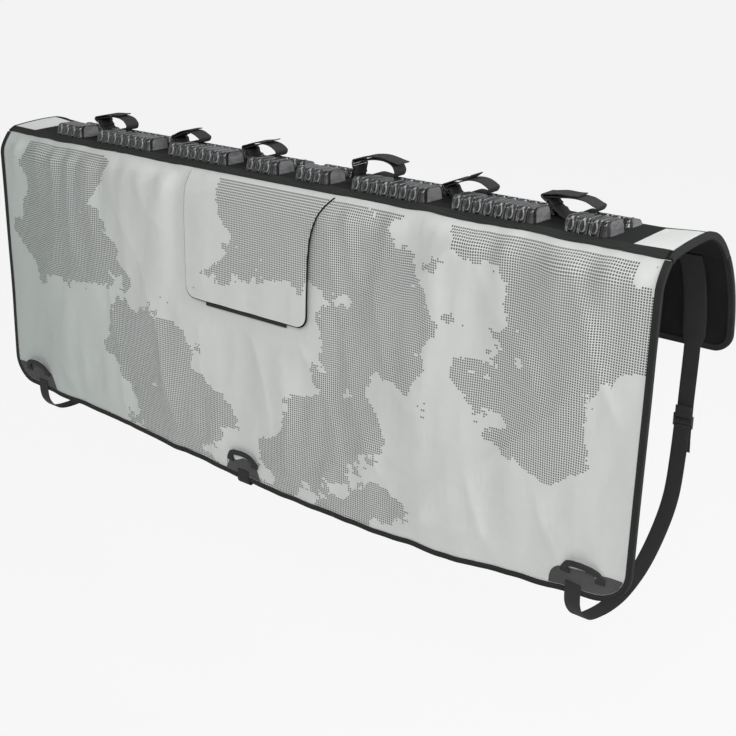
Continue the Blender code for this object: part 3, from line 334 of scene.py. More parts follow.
def make_webbing(name, colour, pitch=0.0017, stitch=False, **constants):
    """Woven strap: ribs across its length, with a raised edge and slanted threads."""
    finish = Finish(name, **constants)
    u, v = finish.across()
    ribs = (u * (2 * pi / pitch)).sine()
    twill = ((u + v * 0.8) * (2 * pi / pitch * 0.62)).sine()
    fuzz = finish.noise(700.0, 2.0, 0.6)
    wear_and_highlight = finish.noise(22.0, 3.0, 0.6)
    light = 0.22 + ribs * 0.14 + twill * 0.10 + fuzz * 0.30 + finish.ramp(wear_and_highlight, 0.4, 0.8) * 0.12
    base = finish.blend(light, shade(colour, 0.60), shade(colour, 2.1))
    height = ribs * 0.5 + twill * 0.35 + fuzz * 0.3
    if stitch:
        line = (v - TAPE_FACE * 0.72).size() < 0.00045
        dash = (u / 0.0042).frac() < 0.70
        seam = line * dash
        base = finish.blend(seam * 0.6, base, shade(colour, 3.2))
        height = height + seam * 2.0
    finish.surface(base, 0.70 + fuzz * 0.2)
    finish.bump(height, 0.0006, 0.6)
    return finish.material


def make_rubber(look):
    """Satin moulded rubber: fine grain, scuffed tops, and painted highlights on the rib shoulders, the
    oval rims and the grooved end walls.
    """
    finish = Finish("moulded_rubber", Specular_IOR_Level=0.50, Coat_Weight=0.30, Coat_Roughness=0.12)
    grain = finish.noise(1500.0, 2.0, 0.6)
    scuff = finish.noise(55.0, 5.0, 0.65, (1.0, 0.35, 1.0))
    patchy = finish.noise(9.0, 3.0, 0.5)
    light = finish.ramp(scuff, 0.50, 0.80) * 0.45 + grain * 0.12
    base = finish.blend(light, shade(look.rubber_colour, 0.45), shade(look.rubber_colour, 1.8))
    # painted highlights from the mesh's points, broken up by the scuff noise and mixed towards light
    # grey
    wear_and_highlight = finish.painted("wear_and_highlight") * (0.45 + finish.ramp(scuff, 0.30, 0.70) * 0.55)
    with_highlights = finish.blend(wear_and_highlight, base, RUBBER_HIGHLIGHT)
    finish.surface(with_highlights, 0.22 + patchy * 0.10 + finish.ramp(scuff, 0.45, 0.75) * 0.12)
    finish.bump(grain * 0.6 + scuff * 0.5, 0.0003, 0.6)
    return finish.material


def make_plastic():
    """Satin plastic with a fine grain and a few scuffs."""
    finish = Finish("black_plastic", Specular_IOR_Level=0.5)
    grain = finish.noise(1200.0, 2.0, 0.5)
    scuff = finish.noise(120.0, 4.0, 0.6)
    light = finish.ramp(scuff, 0.55, 0.8) * 0.4
    finish.surface(finish.blend(light, PLASTIC, SCUFFED_PLASTIC), 0.32 + grain * 0.12 + scuff * 0.10)
    finish.bump(grain, 0.0002, 0.5)
    return finish.material


FINISHES = {}


def prepare_finishes(look):
    """Makes every finish once, under the name of the record's slot."""
    if FINISHES:
        return
    fabric = look.fabric_colour
    FINISHES.update(
        tarpaulin=make_tarpaulin(look),
        lining=make_fabric("soft_lining", LINING_COLOUR, 0.0016, 0.35, Specular_IOR_Level=0.15),
        deck_fabric=make_fabric("deck_fabric", fabric, 0.0019, 0.7, 0.35, Specular_IOR_Level=0.22),
        edge_tape=make_webbing("edge_tape", look.tape_colour, 0.0013, True, Specular_IOR_Level=0.22),
        rubber=make_rubber(look),
        webbing=make_webbing("woven_webbing", look.webbing_colour, Specular_IOR_Level=0.30),
        patch=make_fabric("patch_fabric", look.patch_colour, 0.0014, 0.4, 0.20, Specular_IOR_Level=0.3),
        plastic=make_plastic(),
    )


# Modelling helpers


def deselect():
    bpy.ops.object.select_all(action="DESELECT")


def activate(obj):
    """Makes a piece the only selected one, and the active one."""
    deselect()
    obj.select_set(True)
    bpy.context.view_layer.objects.active = obj


def apply_modifier(obj, kind, **settings):
    """Adds a modifier, sets it and applies it."""
    bpy.context.view_layer.objects.active = obj
    modifier = obj.modifiers.new(kind.lower(), kind)
    for key, value in settings.items():
        setattr(modifier, key, value)
    bpy.ops.object.modifier_apply(modifier=modifier.name)


def grid_piece(name, columns, rows, place, measure=None):
    """A grid primitive whose point (u, v) goes to place(u, v), with a UV map in metres."""
    deselect()
    bpy.ops.mesh.primitive_grid_add(x_subdivisions=columns, y_subdivisions=rows, size=1.0)
    obj = bpy.context.object
    obj.name = obj.data.name = name
    mesh = obj.data
    shares = [(vertex.co.x + 0.5, vertex.co.y + 0.5) for vertex in mesh.vertices]
    for vertex, (u, v) in zip(mesh.vertices, shares):
        vertex.co = place(u, v)
    flat = mesh.uv_layers.active or mesh.uv_layers.new(name="UVMap")
    flat.name = "UVMap"
    if measure is None:
        wide = (Vector(place(1.0, 0.5)) - Vector(place(0.0, 0.5))).length
        tall = (Vector(place(0.5, 1.0)) - Vector(place(0.5, 0.0))).length
        measure = lambda u, v: (u * wide, v * tall)
    for loop in mesh.loops:
        flat.data[loop.index].uv = measure(*shares[loop.vertex_index])
    return obj


def paint(obj, name, columns, rows, value):
    """Stores value(u, v) at each point of a fresh grid piece."""
    layer = obj.data.attributes.new(name, "FLOAT", "POINT")
    for k, item in enumerate(layer.data):
        item.value = value(k % (columns + 1) / columns, k // (columns + 1) / rows)


def dress(obj, slot, *nodes, angle=40):
    """Gives a piece its finish and its place on the part."""
    obj.data.materials.clear()
    obj.data.materials.append(FINISHES[slot])
    activate(obj)
    bpy.ops.object.shade_smooth_by_angle(angle=radians(angle))
    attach(obj, "root")
    if nodes:
        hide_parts(*nodes)
    return obj


def thicken(obj, thickness, side, edge=0.0):
    """Gives a sheet its thickness: inwards at -1, both ways at 0 and outwards at 1."""
    apply_modifier(obj, "SOLIDIFY", thickness=thickness, offset=side, use_even_offset=True)
    if edge:
        apply_modifier(obj, "BEVEL", width=edge, segments=2, limit_method="ANGLE", angle_limit=1.0)


def field(x, y, z):
    return noise.noise(Vector((x, y, z)))


def smooth_step(t):
    t = min(max(t, 0.0), 1.0)
    return t * t * (3 - 2 * t)


def smooth_path(points, steps):
    """A curve through 2D points that doesn't overshoot, with some steps between each two."""
    points = [Vector(p) for p in points]
    spans = [(b - a).length for a, b in zip(points, points[1:])]
    chords = [(b - a) / span for a, b, span in zip(points, points[1:], spans)]
    tangents = [chords[0]]
    for before, after, chord_in, chord_out in zip(spans, spans[1:], chords, chords[1:]):
        tangents.append((chord_in * after + chord_out * before) / (before + after))
    tangents.append(chords[-1])
    path = []
    for a, b, span, leave, arrive in zip(points, points[1:], spans, tangents, tangents[1:]):
        for step in range(steps):
            t = step / steps
            bend = t * (1 - t) * (1 - t) * leave - t * t * (1 - t) * arrive
            path.append(a + (b - a) * smooth_step(t) + span * bend)
    return [*path, points[-1]]


def turn_points(centre, radius, start, end, steps=16):
    """Points on an arc between two angles in degrees."""
    points = []
    for k in range(steps + 1):
        angle = radians(start + (end - start) * k / steps)
        points.append((centre[0] + radius * cos(angle), centre[1] + radius * sin(angle)))
    return points


def lengths_along(path):
    """Distance along a path at each of its points."""
    total = [0.0]
    for a, b in zip(path, path[1:]):
        total.append(total[-1] + (Vector(b) - Vector(a)).length)
    return total


def ribbon(name, path, across, width, web, edge=0.0006):
    """A strip of webbing on a 3D path: across(k) is its width's direction at point k."""
    columns, rows = len(path) - 1, 6
    along = lengths_along(path)

    def place(u, v):
        k = round(u * columns)
        return Vector(path[k]) + (v - 0.5) * width(k) * across(k)

    def measure(u, v):
        return along[round(u * columns)], v * width(round(u * columns))

    obj = grid_piece(name, columns, rows, place, measure)
    thicken(obj, web, 0, edge)
    return obj


# Steps of a strap's path between two points, and of its turn round a slider's bar in the part
PATH_STEPS, FOLD_STEPS = 9, 5

# Surfaces of the cover


def hem_line(x):
    bow = HEM_BOW * cos(pi * x / PAD_WIDTH)
    return FRONT_DROP + bow + HEM_SKEW * sin(2 * pi * x / PAD_WIDTH)


def rounded_edge(line, radius, x, inset):
    inner = radius - inset
    past = max(abs(x) - (HALF - radius), 0.0)
    return line - inset - (inner - sqrt(max(inner * inner - past * past, 0.0)))


def hem_drop(x, inset=0.0):
    return rounded_edge(hem_line(x), FRONT_CORNER_R, x, inset)


def front_wave(x, drop):
    """Soft upright folds in the front sheet, none near its sewn edges or the access flap."""
    beside = max(abs(x - FLAP_X) - FLAP_HALF, 0.0)
    below = max(drop - FLAP_DROP, 0.0)
    edge = min(HALF - abs(x), drop, hem_line(x) - drop, hypot(beside, below))
    fade = smooth_step((edge - WAVE_MARGIN) / WAVE_FADE)
    turn = 2 * pi * x / WAVE_PITCH
    fold = sin(turn + 3.0 * drop) + 0.5 * sin(1.7 * turn - 5.0 * drop + 1.0)
    return fade * WAVE_DEPTH * fold


def ridge(x, y, z):
    """Sharp crests where a noise field changes sign."""
    return (1 - abs(field(x, y, z))) ** 7


def crumple(x, drop, depth):
    """Fine folds and creases of handled tarpaulin."""
    beside = max(abs(x - FLAP_X) - FLAP_HALF, 0.0)
    below = max(drop - FLAP_DROP, 0.0)
    edge = min(HALF - abs(x), hem_line(x) - drop, hypot(beside, below))
    fade = smooth_step((edge - 0.010) / 0.060) * smooth_step((drop - 0.004) / 0.030)
    if fade <= 0.0:
        return 0.0
    folds = field(5.2 * x, 1.4 * drop, 0.3)
    small = field(15.0 * x + 3.0 * drop, 5.0 * drop, 4.1)
    crease = ridge(3.1 * x + 1.3 * drop, 2.0 * drop - 0.6 * x, 7.7)
    crease += 0.6 * ridge(6.3 * x - 2.6 * drop, 2.6 * drop + 0.8 * x, 2.9)
    top = exp(-drop / 0.07) * field(26.0 * x, 5.0 * drop, 9.0)
    hang = field(27.0 * x, 2.2 * drop, 12.0) * field(3.0 * x, 3.0 * drop, 5.0)
    return fade * depth * (folds + 0.45 * small + 0.5 * crease + 0.9 * top + 1.1 * hang)


# Uneven hang of the edges, and the calm area round the access flap
HANG_OUT, HANG_DOWN = 0.0036, 0.0030
CALM_SHIFT, CALM_HALF, CALM_DROP = 0.010, 0.185, 0.270


def softened(point):
    """The uneven hang of sewn edges: one shift for all layers that lie on each other."""
    beside = max(abs(point.x - FLAP_X - CALM_SHIFT) - CALM_HALF, 0.0)
    room = hypot(beside, max(-CALM_DROP - point.z, 0.0))
    share = smooth_step((-0.079 - point.y) / 0.012) * smooth_step(room / 0.05)
    if share <= 0.0:
        return point
    out = field(9.0 * point.x, 2.0 * point.z, 3.4)
    out += 0.6 * field(24.0 * point.x, 7.0 * point.z, 8.1)
    down = field(11.0 * point.x, 0.5, 6.6)
    down += 0.5 * field(31.0 * point.x, 0.5, 2.6)
    return point + share * Vector((0.0, -HANG_OUT * out, HANG_DOWN * down))


def front_point(x, drop, out=0.0):
    """Point of the front sheet's outer face at x and a distance down, moved outwards by out."""
    turn = 0.5 * pi * min(max(drop, 0.0) / SHOULDER_DROP, 1.0)
    y = CREASE_Y - SHOULDER_OUT * sin(turn) - FRONT_FLARE * drop / FRONT_DROP
    slope = SHOULDER_OUT * cos(turn) * 0.5 * pi / SHOULDER_DROP if turn < 1.57 else 0.0
    slope += FRONT_FLARE / FRONT_DROP
    normal = Vector((0.0, -1.0, slope)).normalized()
    return softened(Vector((x, y - front_wave(x, drop), CREASE_Z - drop)) + out * normal)


def roll_height(y):
    past = min(max(y - DECK_FLAT_END, 0.0) / ROLL_RUN, 1.0)
    return DECK_TOP - ROLL_FALL * (1 - sqrt(1 - past * past))


def deck_height(x, y):
    share = min((y - CREASE_Y) / RAMP_RUN, 1.0)
    rise = smooth_step((abs(x) - (HALF - END_RISE_RUN)) / END_RISE_RUN)
    crown = max(sin(pi * (y - CREASE_Y) / (DECK_REAR - CREASE_Y)), 0.0)
    height = roll_height(y) if share >= 1.0 else CREASE_Z + share * (DECK_TOP - CREASE_Z)
    return height + END_RISE * rise * crown


def deck_point(x, y, out):
    step = 0.001
    slope = (deck_height(x, y + step) - deck_height(x, y - step)) / (2 * step)
    return softened(Vector((x, y, deck_height(x, y))) + out * Vector((0.0, -slope, 1.0)).normalized())


def back_hem_z(x):
    return -rounded_edge(BACK_DROP, BACK_CORNER_R, x, 0.0)


def back_point(x, z, out):
    fall = min((DECK_TOP - z) / ROLL_FALL, 1.0)
    run = sqrt(max(1 - (1 - fall) ** 2, 1e-9))
    y = DECK_FLAT_END + ROLL_RUN * run
    slope = (1 - fall) / run * ROLL_RUN / ROLL_FALL
    return Vector((x, y, z)) + out * Vector((0.0, 1.0, slope)).normalized()


def even_stations(half, radius, count):
    """Places across a sheet: even over its straight part and by angle round both corners."""
    straight = half - radius
    bend = [straight + radius * sin(0.5 * pi * k / 10) for k in range(1, 11)]
    middle = [straight * (2 * k / count - 1) for k in range(count + 1)]
    return [-x for x in reversed(bend)] + middle + bend


def front_sheet(name, count, rows, out, thickness, depth):
    """One layer of the front, in rows from the hem up to the crease."""
    stations = even_stations(HALF, FRONT_CORNER_R, count)
    columns = len(stations) - 1

    def spot(u, v):
        x = stations[round(u * columns)]
        hem = hem_drop(x)
        return x, hem * (1 - v) ** 0.92

    def place(u, v):
        x, drop = spot(u, v)
        return front_point(x, drop, out + crumple(x, drop, depth))

    obj = grid_piece(name, columns, rows, place, spot)
    thicken(obj, thickness, -1)
    return obj


def cut_window(*sheets):
    """Opens the hand window behind the access flap in the front's layers."""
    deselect()
    middle = front_point(FLAP_X, WINDOW_TOP + WINDOW_HEIGHT / 2)
    bpy.ops.mesh.primitive_cube_add(size=1.0, location=middle)
    cutter = bpy.context.object
    cutter.scale = (WINDOW_WIDTH, 0.12, WINDOW_HEIGHT)
    bpy.ops.object.transform_apply(location=True, rotation=False, scale=True)
    bpy.ops.object.mode_set(mode="EDIT")
    bpy.ops.mesh.select_mode(type="EDGE")
    bpy.ops.mesh.select_all(action="DESELECT")
    bpy.ops.object.mode_set(mode="OBJECT")
    for edge in cutter.data.edges:
        a, b = (cutter.data.vertices[k].co for k in edge.vertices)
        edge.select = abs(a.y - b.y) > 0.01
    bpy.ops.object.mode_set(mode="EDIT")
    bpy.ops.mesh.bevel(offset=WINDOW_R, segments=6, affect="EDGES")
    bpy.ops.object.mode_set(mode="OBJECT")
    for sheet in sheets:
        apply_modifier(sheet, "BOOLEAN", operation="DIFFERENCE", solver="EXACT", object=cutter)
    bpy.data.objects.remove(cutter)


class Maker:
    """What each operator that makes pieces does round its own work."""

    def execute(self, context):
        prepare_finishes(context.scene.pad_look)
        self.make(context)
        return {"FINISHED"}


class PAD_OT_front(Maker, bpy.types.Operator):
    """Hang the printed tarpaulin and its lining"""

    bl_idname = "pad.front"
    bl_label = "Front sheets"

    def make(self, context):
        look = context.scene.pad_look
        outer = front_sheet("tarpaulin_sheet", 260, 110, 0.0, TARPAULIN, look.crumple)
        inner = front_sheet("lining_sheet", 200, 80, -TARPAULIN - TAPE_CLEARANCE, LINING, look.crumple)
        cut_window(outer, inner)
        dress(outer, "tarpaulin", "front_tarpaulin", angle=60)
        dress(inner, "lining", "front_lining", angle=60)


def deck_crease(x, y):
    """Folds of the top's fabric where it is pulled over the foam."""
    ends = smooth_step((HALF - 0.012 - abs(x)) / 0.05)
    rear = smooth_step((y - 0.045) / 0.03)
    folds = field(9.0 * x, 14.0 * y, 1.3)
    return ends * (0.0008 + 0.0022 * rear) * folds * smooth_step((y + 0.085) / 0.02)


class PAD_OT_top(Maker, bpy.types.Operator):
    """Pad the top, and lay the pale panels on its ends"""

    bl_idname = "pad.top"
    bl_label = "Padded top"

    def make(self, context):
        start = CREASE_Y + DECK_SETBACK
        rear = asin((DECK_REAR - DECK_FLAT_END) / ROLL_RUN)
        bed = [start + (DECK_FLAT_END - start) * k / 36 for k in range(36)]
        rows = bed + [DECK_FLAT_END + ROLL_RUN * sin(rear * k / 24) for k in range(25)]

        def place(u, v):
            x = HALF * (2 * u - 1)
            y = rows[round(v * (len(rows) - 1))]
            return deck_point(x, y, min(deck_crease(x, y), 0.0002))

        deck = grid_piece("deck_pad", 320, len(rows) - 1, place)
        thicken(deck, DECK_PAD, -1)
        dress(deck, "deck_fabric", "top_deck", angle=60)
        outer = HALF - DECK_TAPE_FACE - 2 * TAPE_CLEARANCE
        front = CREASE_Y + CREASE_TAPE_WIDTH + TAPE_CLEARANCE

        def unprinted(u, v):
            """Coordinates above the crease, where the print hasn't begun."""
            return END_PANEL_WIDTH * u, -END_PANEL_RUN * v

        for side, name in ((-1, "left"), (1, "right")):

            def panel(u, v, side=side):
                x = outer - END_PANEL_WIDTH * (u if side < 0 else 1 - u)
                return deck_point(side * x, front + v * (END_PANEL_BACK - front), GAP)

            piece = grid_piece(f"pale_end_panel_{name}", 24, 40, panel, unprinted)
            thicken(piece, END_PANEL, 1)
            dress(piece, "tarpaulin", f"end_panel_{name}")


def back_start():
    """How far round the roll the back flap starts, as an angle."""
    return asin((DECK_REAR + SEAM_GAP - DECK_FLAT_END) / ROLL_RUN)


class PAD_OT_back(Maker, bpy.types.Operator):
    """Hang the black flap behind the tailgate"""

    bl_idname = "pad.back"
    bl_label = "Back flap"

    def make(self, context):
        stations = even_stations(HALF, BACK_CORNER_R, 200)
        columns = len(stations) - 1
        start = back_start()
        turns = [start + (0.5 * pi - start) * k / 50 for k in range(51)]
        heights = [DECK_TOP - ROLL_FALL * (1 - cos(turn)) for turn in turns]
        rows = len(heights)

        def place(u, v):
            x = stations[round(u * columns)]
            row = round(v * rows)
            hem = back_hem_z(x)
            z = hem if row == rows else max(heights[row], hem + 0.0006 * (rows - row))
            inside = min(HALF - abs(x), z - hem, heights[0] - z)
            fold = field(7.0 * x, 5.0 * z, 2.2)
            return back_point(x, z, 0.002 * smooth_step((inside - 0.01) / 0.05) * (0.5 + fold))

        flap = grid_piece("back_flap_sheet", columns, rows, place)
        thicken(flap, BACK_SHEET, -1)
        dress(flap, "deck_fabric", "back_flap", angle=60)


# Edge tapes


def tape_piece(name, node, surface, spots, stack, flip=False, width=TAPE_FACE):
    """A tape folded round an edge: spots are places on the surface, each with its way inwards."""
    room = TAPE_CLEARANCE
    outer = [(1.0, room), (0.5, room), (0.0, room), (-0.04, room * 0.4)]
    inner = [(lip, -stack - out) for lip, out in reversed(outer)]
    face = [*outer, (-0.06, -stack / 2), *inner]
    sections = []
    for a, b, (way_a, way_b) in spots:
        section = [surface(a + lip * way_a * width, b + lip * way_b * width, out) for lip, out in face]
        sections.append(section[::-1] if flip else section)
    columns, rows = len(sections) - 1, len(face) - 1
    along = lengths_along([section[0] for section in sections])

    def place(u, v):
        return sections[round(u * columns)][round(v * rows)]

    def measure(u, v):
        k = round(v * rows)
        lip = abs(face[k][0]) * width
        return along[round(u * columns)], TAPE_FACE - lip if k in (3, 4, 5) else lip

    obj = grid_piece(name, columns, rows, place, measure)
    thicken(obj, TAPE, -1)
    return dress(obj, "edge_tape", node, angle=50)


def spaced(low, high, count):
    return [low + (high - low) * k / count for k in range(count + 1)]


def hem_spots(radius, hem, up, first, last, steps, across):
    """Spots down the left end, round the hem and up the right end, each with its way inwards."""
    straight = HALF - radius
    turns = spaced(0.0, 0.5 * pi, 10)

    def corner(side, turn):
        x = side * (straight + radius * sin(turn))
        return x, hem(x), (-side * sin(turn), up * cos(turn))

    spots = [(-HALF, at, (1.0, 0.0)) for at in spaced(first, last, steps)]
    spots += [corner(-1, turn) for turn in reversed(turns)]
    spots += [(x, hem(x), (0.0, up)) for x in spaced(-straight, straight, across)[1:-1]]
    spots += [corner(1, turn) for turn in turns]
    return spots + [(HALF, at, (-1.0, 0.0)) for at in spaced(last, first, steps)]


class PAD_OT_tapes(Maker, bpy.types.Operator):
    """Bind every free edge and the crease with tape"""

    bl_idname = "pad.tapes"
    bl_label = "Edge tapes"

    def make(self, context):
        end = FRONT_DROP - 0.06
        spots = hem_spots(FRONT_CORNER_R, hem_drop, -1.0, 0.0010, end, 64, 200)
        stack = TARPAULIN + TAPE_CLEARANCE + LINING
        tape_piece("front_binding", "front_edge_tape", front_point, spots, stack)

        places = spaced(CREASE_Y + 0.0025, DECK_REAR, 70)
        for side, name in ((-1, "left"), (1, "right")):
            spots = [(side * HALF, y, (-side, 0.0)) for y in places[::-side]]
            node = f"deck_end_tape_{name}"
            tape_piece(f"deck_binding_{name}", node, deck_point, spots, DECK_PAD, True, DECK_TAPE_FACE)

        top = DECK_TOP - ROLL_FALL * (1 - cos(back_start()))
        end = -BACK_DROP + BACK_CORNER_R + 0.002
        spots = hem_spots(BACK_CORNER_R, back_hem_z, 1.0, top, end, 30, 120)
        tape_piece("back_binding", "back_edge_tape", back_point, spots, BACK_SHEET, True)

        seam = CREASE_Y - GAP
        half = HALF - TAPE_FACE - TAPE_CLEARANCE

        def crease(u, v):
            x = half * (2 * u - 1)
            y = seam + CREASE_TAPE_WIDTH * v
            soft = 0.0005 * (1 + field(24.0 * x, 30.0 * v, 5.5)) * sin(pi * v)
            return deck_point(x, y, GAP + soft)

        def measure(u, v):
            return half * 2 * u, CREASE_TAPE_WIDTH * v

        tape = grid_piece("crease_binding", 300, 10, crease, measure)
        thicken(tape, TAPE, 1)
        dress(tape, "edge_tape", "crease_tape", angle=60)


# Rest blocks


def block_profile(depth, heights):
    """Fine section across a block, from front base to back base, with each point's rib growth."""
    front_high, back_high = heights
    front_in, back_in = BLOCK_INSETS
    edge, back_edge = BLOCK_EDGES
    outline = [(0.0, 0.0), (front_in * 0.55, (front_high - edge) * 0.55)]
    outline += turn_points((front_in + edge, front_high - edge), edge, 176, 92, 8)
    rear = depth - back_in - back_edge
    outline += turn_points((rear, back_high - back_edge), back_edge, 88, 4, 5)
    outline += [(depth - 0.4 * back_in, 0.4 * back_high), (depth, 0.0)]
    along = lengths_along(outline)
    fine = []
    count, front = 84, along[8]
    for k in range(count + 1):
        at = front * k / 40 if k < 40 else front + (along[-1] - front) * (k - 40) / (count - 40)
        i = max(j for j in range(len(along)) if along[j] <= at + 1e-9)
        i = min(i, len(along) - 2)
        share = (at - along[i]) / (along[i + 1] - along[i])
        a, b = Vector(outline[i]), Vector(outline[i + 1])
        normal = Vector((-(b - a).y, (b - a).x)).normalized()
        point = a.lerp(b, share)
        fine.append((point, normal, smooth_step((along[-1] - at) / (0.8 * back_high))))
    return fine


def block_piece(name, ribs, depth, heights):
    """A moulded block: rounded ribs with an oval pillow on each front end, and grooved end walls."""
    profile = block_profile(depth, heights)
    rows = len(profile) - 1
    top = max(point.y for point, _, _ in profile) + RIB_RISE
    left = -(END_LEFT + ribs * RIB_PITCH + END_RIGHT) / 2
    corner = left + END_LEFT + ribs * RIB_PITCH
    flat = END_RIGHT - END_SLANT
    middle = depth * 0.55
    # each station: place, rib growth, rib's middle, front setback, lean, slant, share closed
    stations = []
    for k in range(16, 0, -1):
        stations.append((left, 0.0, None, 0.003, -0.4 * END_LEAN, 0.0, k / 16))
    stations.append((left, 0.0, None, 0.003, -0.4 * END_LEAN, 0.0, 0.0))
    stations.append((left + 0.5 * END_LEFT, 0.0, None, 0.001, 0.0, 0.0, 0.0))
    for rib in range(ribs):
        start = left + END_LEFT + rib * RIB_PITCH
        for k in range(28):
            t = k / 28
            grow = (1 - abs(2 * t - 1) ** 3.2) ** (1 / 3.2)
            stations.append((start + t * RIB_PITCH, grow, start + RIB_PITCH / 2, 0.0, 0.0, 0.0, 0.0))
    for k in range(13):
        t = k / 12
        angle = 0.5 * pi * max(t - 0.35, 0.0) / 0.65
        grow = (1 - (1 - min(t / 0.35, 1.0)) ** 3.2) ** (1 / 3.2)
        x = corner + flat * (t if t < 0.35 else 0.35 + 0.65 * sin(angle))
        back = 1 - cos(angle)
        stations.append((x, grow, None, CORNER_SETBACK * back, END_LEAN * back, END_SLANT * back, 0.0))
    for k in range(1, 33):
        stations.append((corner + flat, 1.0, None, CORNER_SETBACK, END_LEAN, END_SLANT, k / 32))
    columns = len(stations) - 1
    high = heights[0]
    oval = (0.0062, 0.52 * high, 0.52 * high)

    def wear_and_highlight(u, v):
        """Painted highlights: pale lines on both shoulders of each rib and on the oval's rim, and a
        pale right end wall.
        """
        x, _, rib, _, _, _, shut = stations[round(u * columns)]
        point, _, share = profile[round(v * rows)]
        if shut > 0:
            # painted light: the right end wall pale, the left one nearly dark
            return 0.42 * smooth_step(shut / 0.10) if x > 0 else 0.08
        if rib is None:
            return 0.0
        side = exp(-(((abs(x - rib) / (RIB_PITCH / 2) - 0.76) / 0.075) ** 2))
        if point.x > BLOCK_INSETS[0] + 0.8 * BLOCK_EDGES[0]:
            return 0.55 * side * share
        q = hypot((x - rib) / oval[0], (point.y - oval[2]) / oval[1])
        rim = exp(-(((q - 0.80) / 0.10) ** 2)) * smooth_step((point.y - 0.0015) / 0.003)
        return max(0.25 * side, 0.9 * rim)

    def place(u, v):
        x, grow, rib, setback, lean, slant, shut = stations[round(u * columns)]
        row = round(v * rows)
        point, normal, share = profile[row]
        out = RIB_RISE * grow * share
        front = smooth_step((middle - point.x) / 0.02)
        if rib is not None and point.x < BLOCK_INSETS[0] + 0.7 * BLOCK_EDGES[0]:
            q = hypot((x - rib) / oval[0], (point.y - oval[2]) / oval[1])
            out -= 0.0014 * exp(-(((q - 1.08) / 0.16) ** 2))
            out += 0.0012 * max(1 - q * q, 0.0)
        y = point.x + out * normal.x + setback * front
        z = max(point.y + out * normal.y, 0.0) if 0 < row < rows else 0.0
        y += (middle - y) * shut
        z *= 1 - shut
        if shut > 0:
            line = 0.5 - 0.5 * cos(2 * pi * z / 0.0030)
            room = smooth_step((top - z - 0.003) / 0.003) * smooth_step((z - 0.002) / 0.002)
            room *= smooth_step(shut / 0.12)
            x -= copysign(0.0005 * line * room, x)
        return Vector((x - lean * z / top + slant * max(y, 0.0) / depth, y, z))

    obj = grid_piece(name, columns, rows, place)
    # store the painted highlights at the mesh's points
    paint(obj, "wear_and_highlight", columns, rows, wear_and_highlight)
    bpy.ops.object.mode_set(mode="EDIT")
    bpy.ops.mesh.select_all(action="SELECT")
    bpy.ops.mesh.remove_doubles(threshold=1e-5)
    bpy.ops.mesh.select_all(action="DESELECT")
    bpy.ops.mesh.select_non_manifold()
    bpy.ops.mesh.edge_face_add()
    bpy.ops.mesh.select_all(action="SELECT")
    bpy.ops.mesh.normals_make_consistent(inside=False)
    bpy.ops.object.mode_set(mode="OBJECT")
    return obj


def block_places():
    """Middles of the blocks and of the gaps between them, without the middle gap."""
    lengths = [END_LEFT + ribs * RIB_PITCH + END_RIGHT for ribs in RIB_COUNTS]
    gaps = [BLOCK_GAP] * (len(lengths) - 1)
    gaps[len(gaps) // 2] = MIDDLE_GAP
    at = BLOCK_SHIFT - (sum(lengths) + sum(gaps)) / 2
    columns, spaces = [], []
    for length, gap in zip(lengths, [*gaps, 0.0]):
        columns.append(at + length / 2)
        at += length
        spaces.append(at + gap / 2)
        at += gap
    middle = len(gaps) // 2
    return columns, spaces[:middle] + spaces[middle + 1 : -1]


class PAD_OT_blocks(Maker, bpy.types.Operator):
    """Mould the two rows of ribbed rest blocks"""

    bl_idname = "pad.blocks"
    bl_label = "Rest blocks"

    def make(self, context):
        rows = (
            ("front", FRONT_BLOCK_Y, FRONT_BLOCK_DEPTH, FRONT_BLOCK_HEIGHTS),
            ("back", BACK_BLOCK_Y, BACK_BLOCK_DEPTH, BACK_BLOCK_HEIGHTS),
        )
        columns, _ = block_places()
        for row, y, depth, heights in rows:
            patterns = {ribs: block_piece(f"block_{ribs}", ribs, depth, heights) for ribs in (3, 7)}
            for number, (ribs, x) in enumerate(zip(RIB_COUNTS, columns), start=1):
                activate(patterns[ribs])
                bpy.ops.object.duplicate(linked=False)
                block = context.object
                block.name = block.data.name = f"ribbed_block_{row}_{number}"
                block.data.transform(Matrix.Translation((x, y, DECK_TOP + GAP)))
                dress(block, "rubber", f"rest_block_{row}_{number}", angle=50)
            for pattern in patterns.values():
                bpy.data.objects.remove(pattern)


# Bike straps


def strap_frame(strap):
    """Fold round a bar, both bars of the ring, and the directions along and across it."""
    fold = RING_WIRE / 2 + GAP + STRAP_WEB / 2
    fall = radians(strap[2])
    along = Vector((cos(fall), -sin(fall)))
    across = Vector((sin(fall), cos(fall)))
    high = Vector(strap[:2])
    return fold, high, high + RING_LENGTH * along, along, across


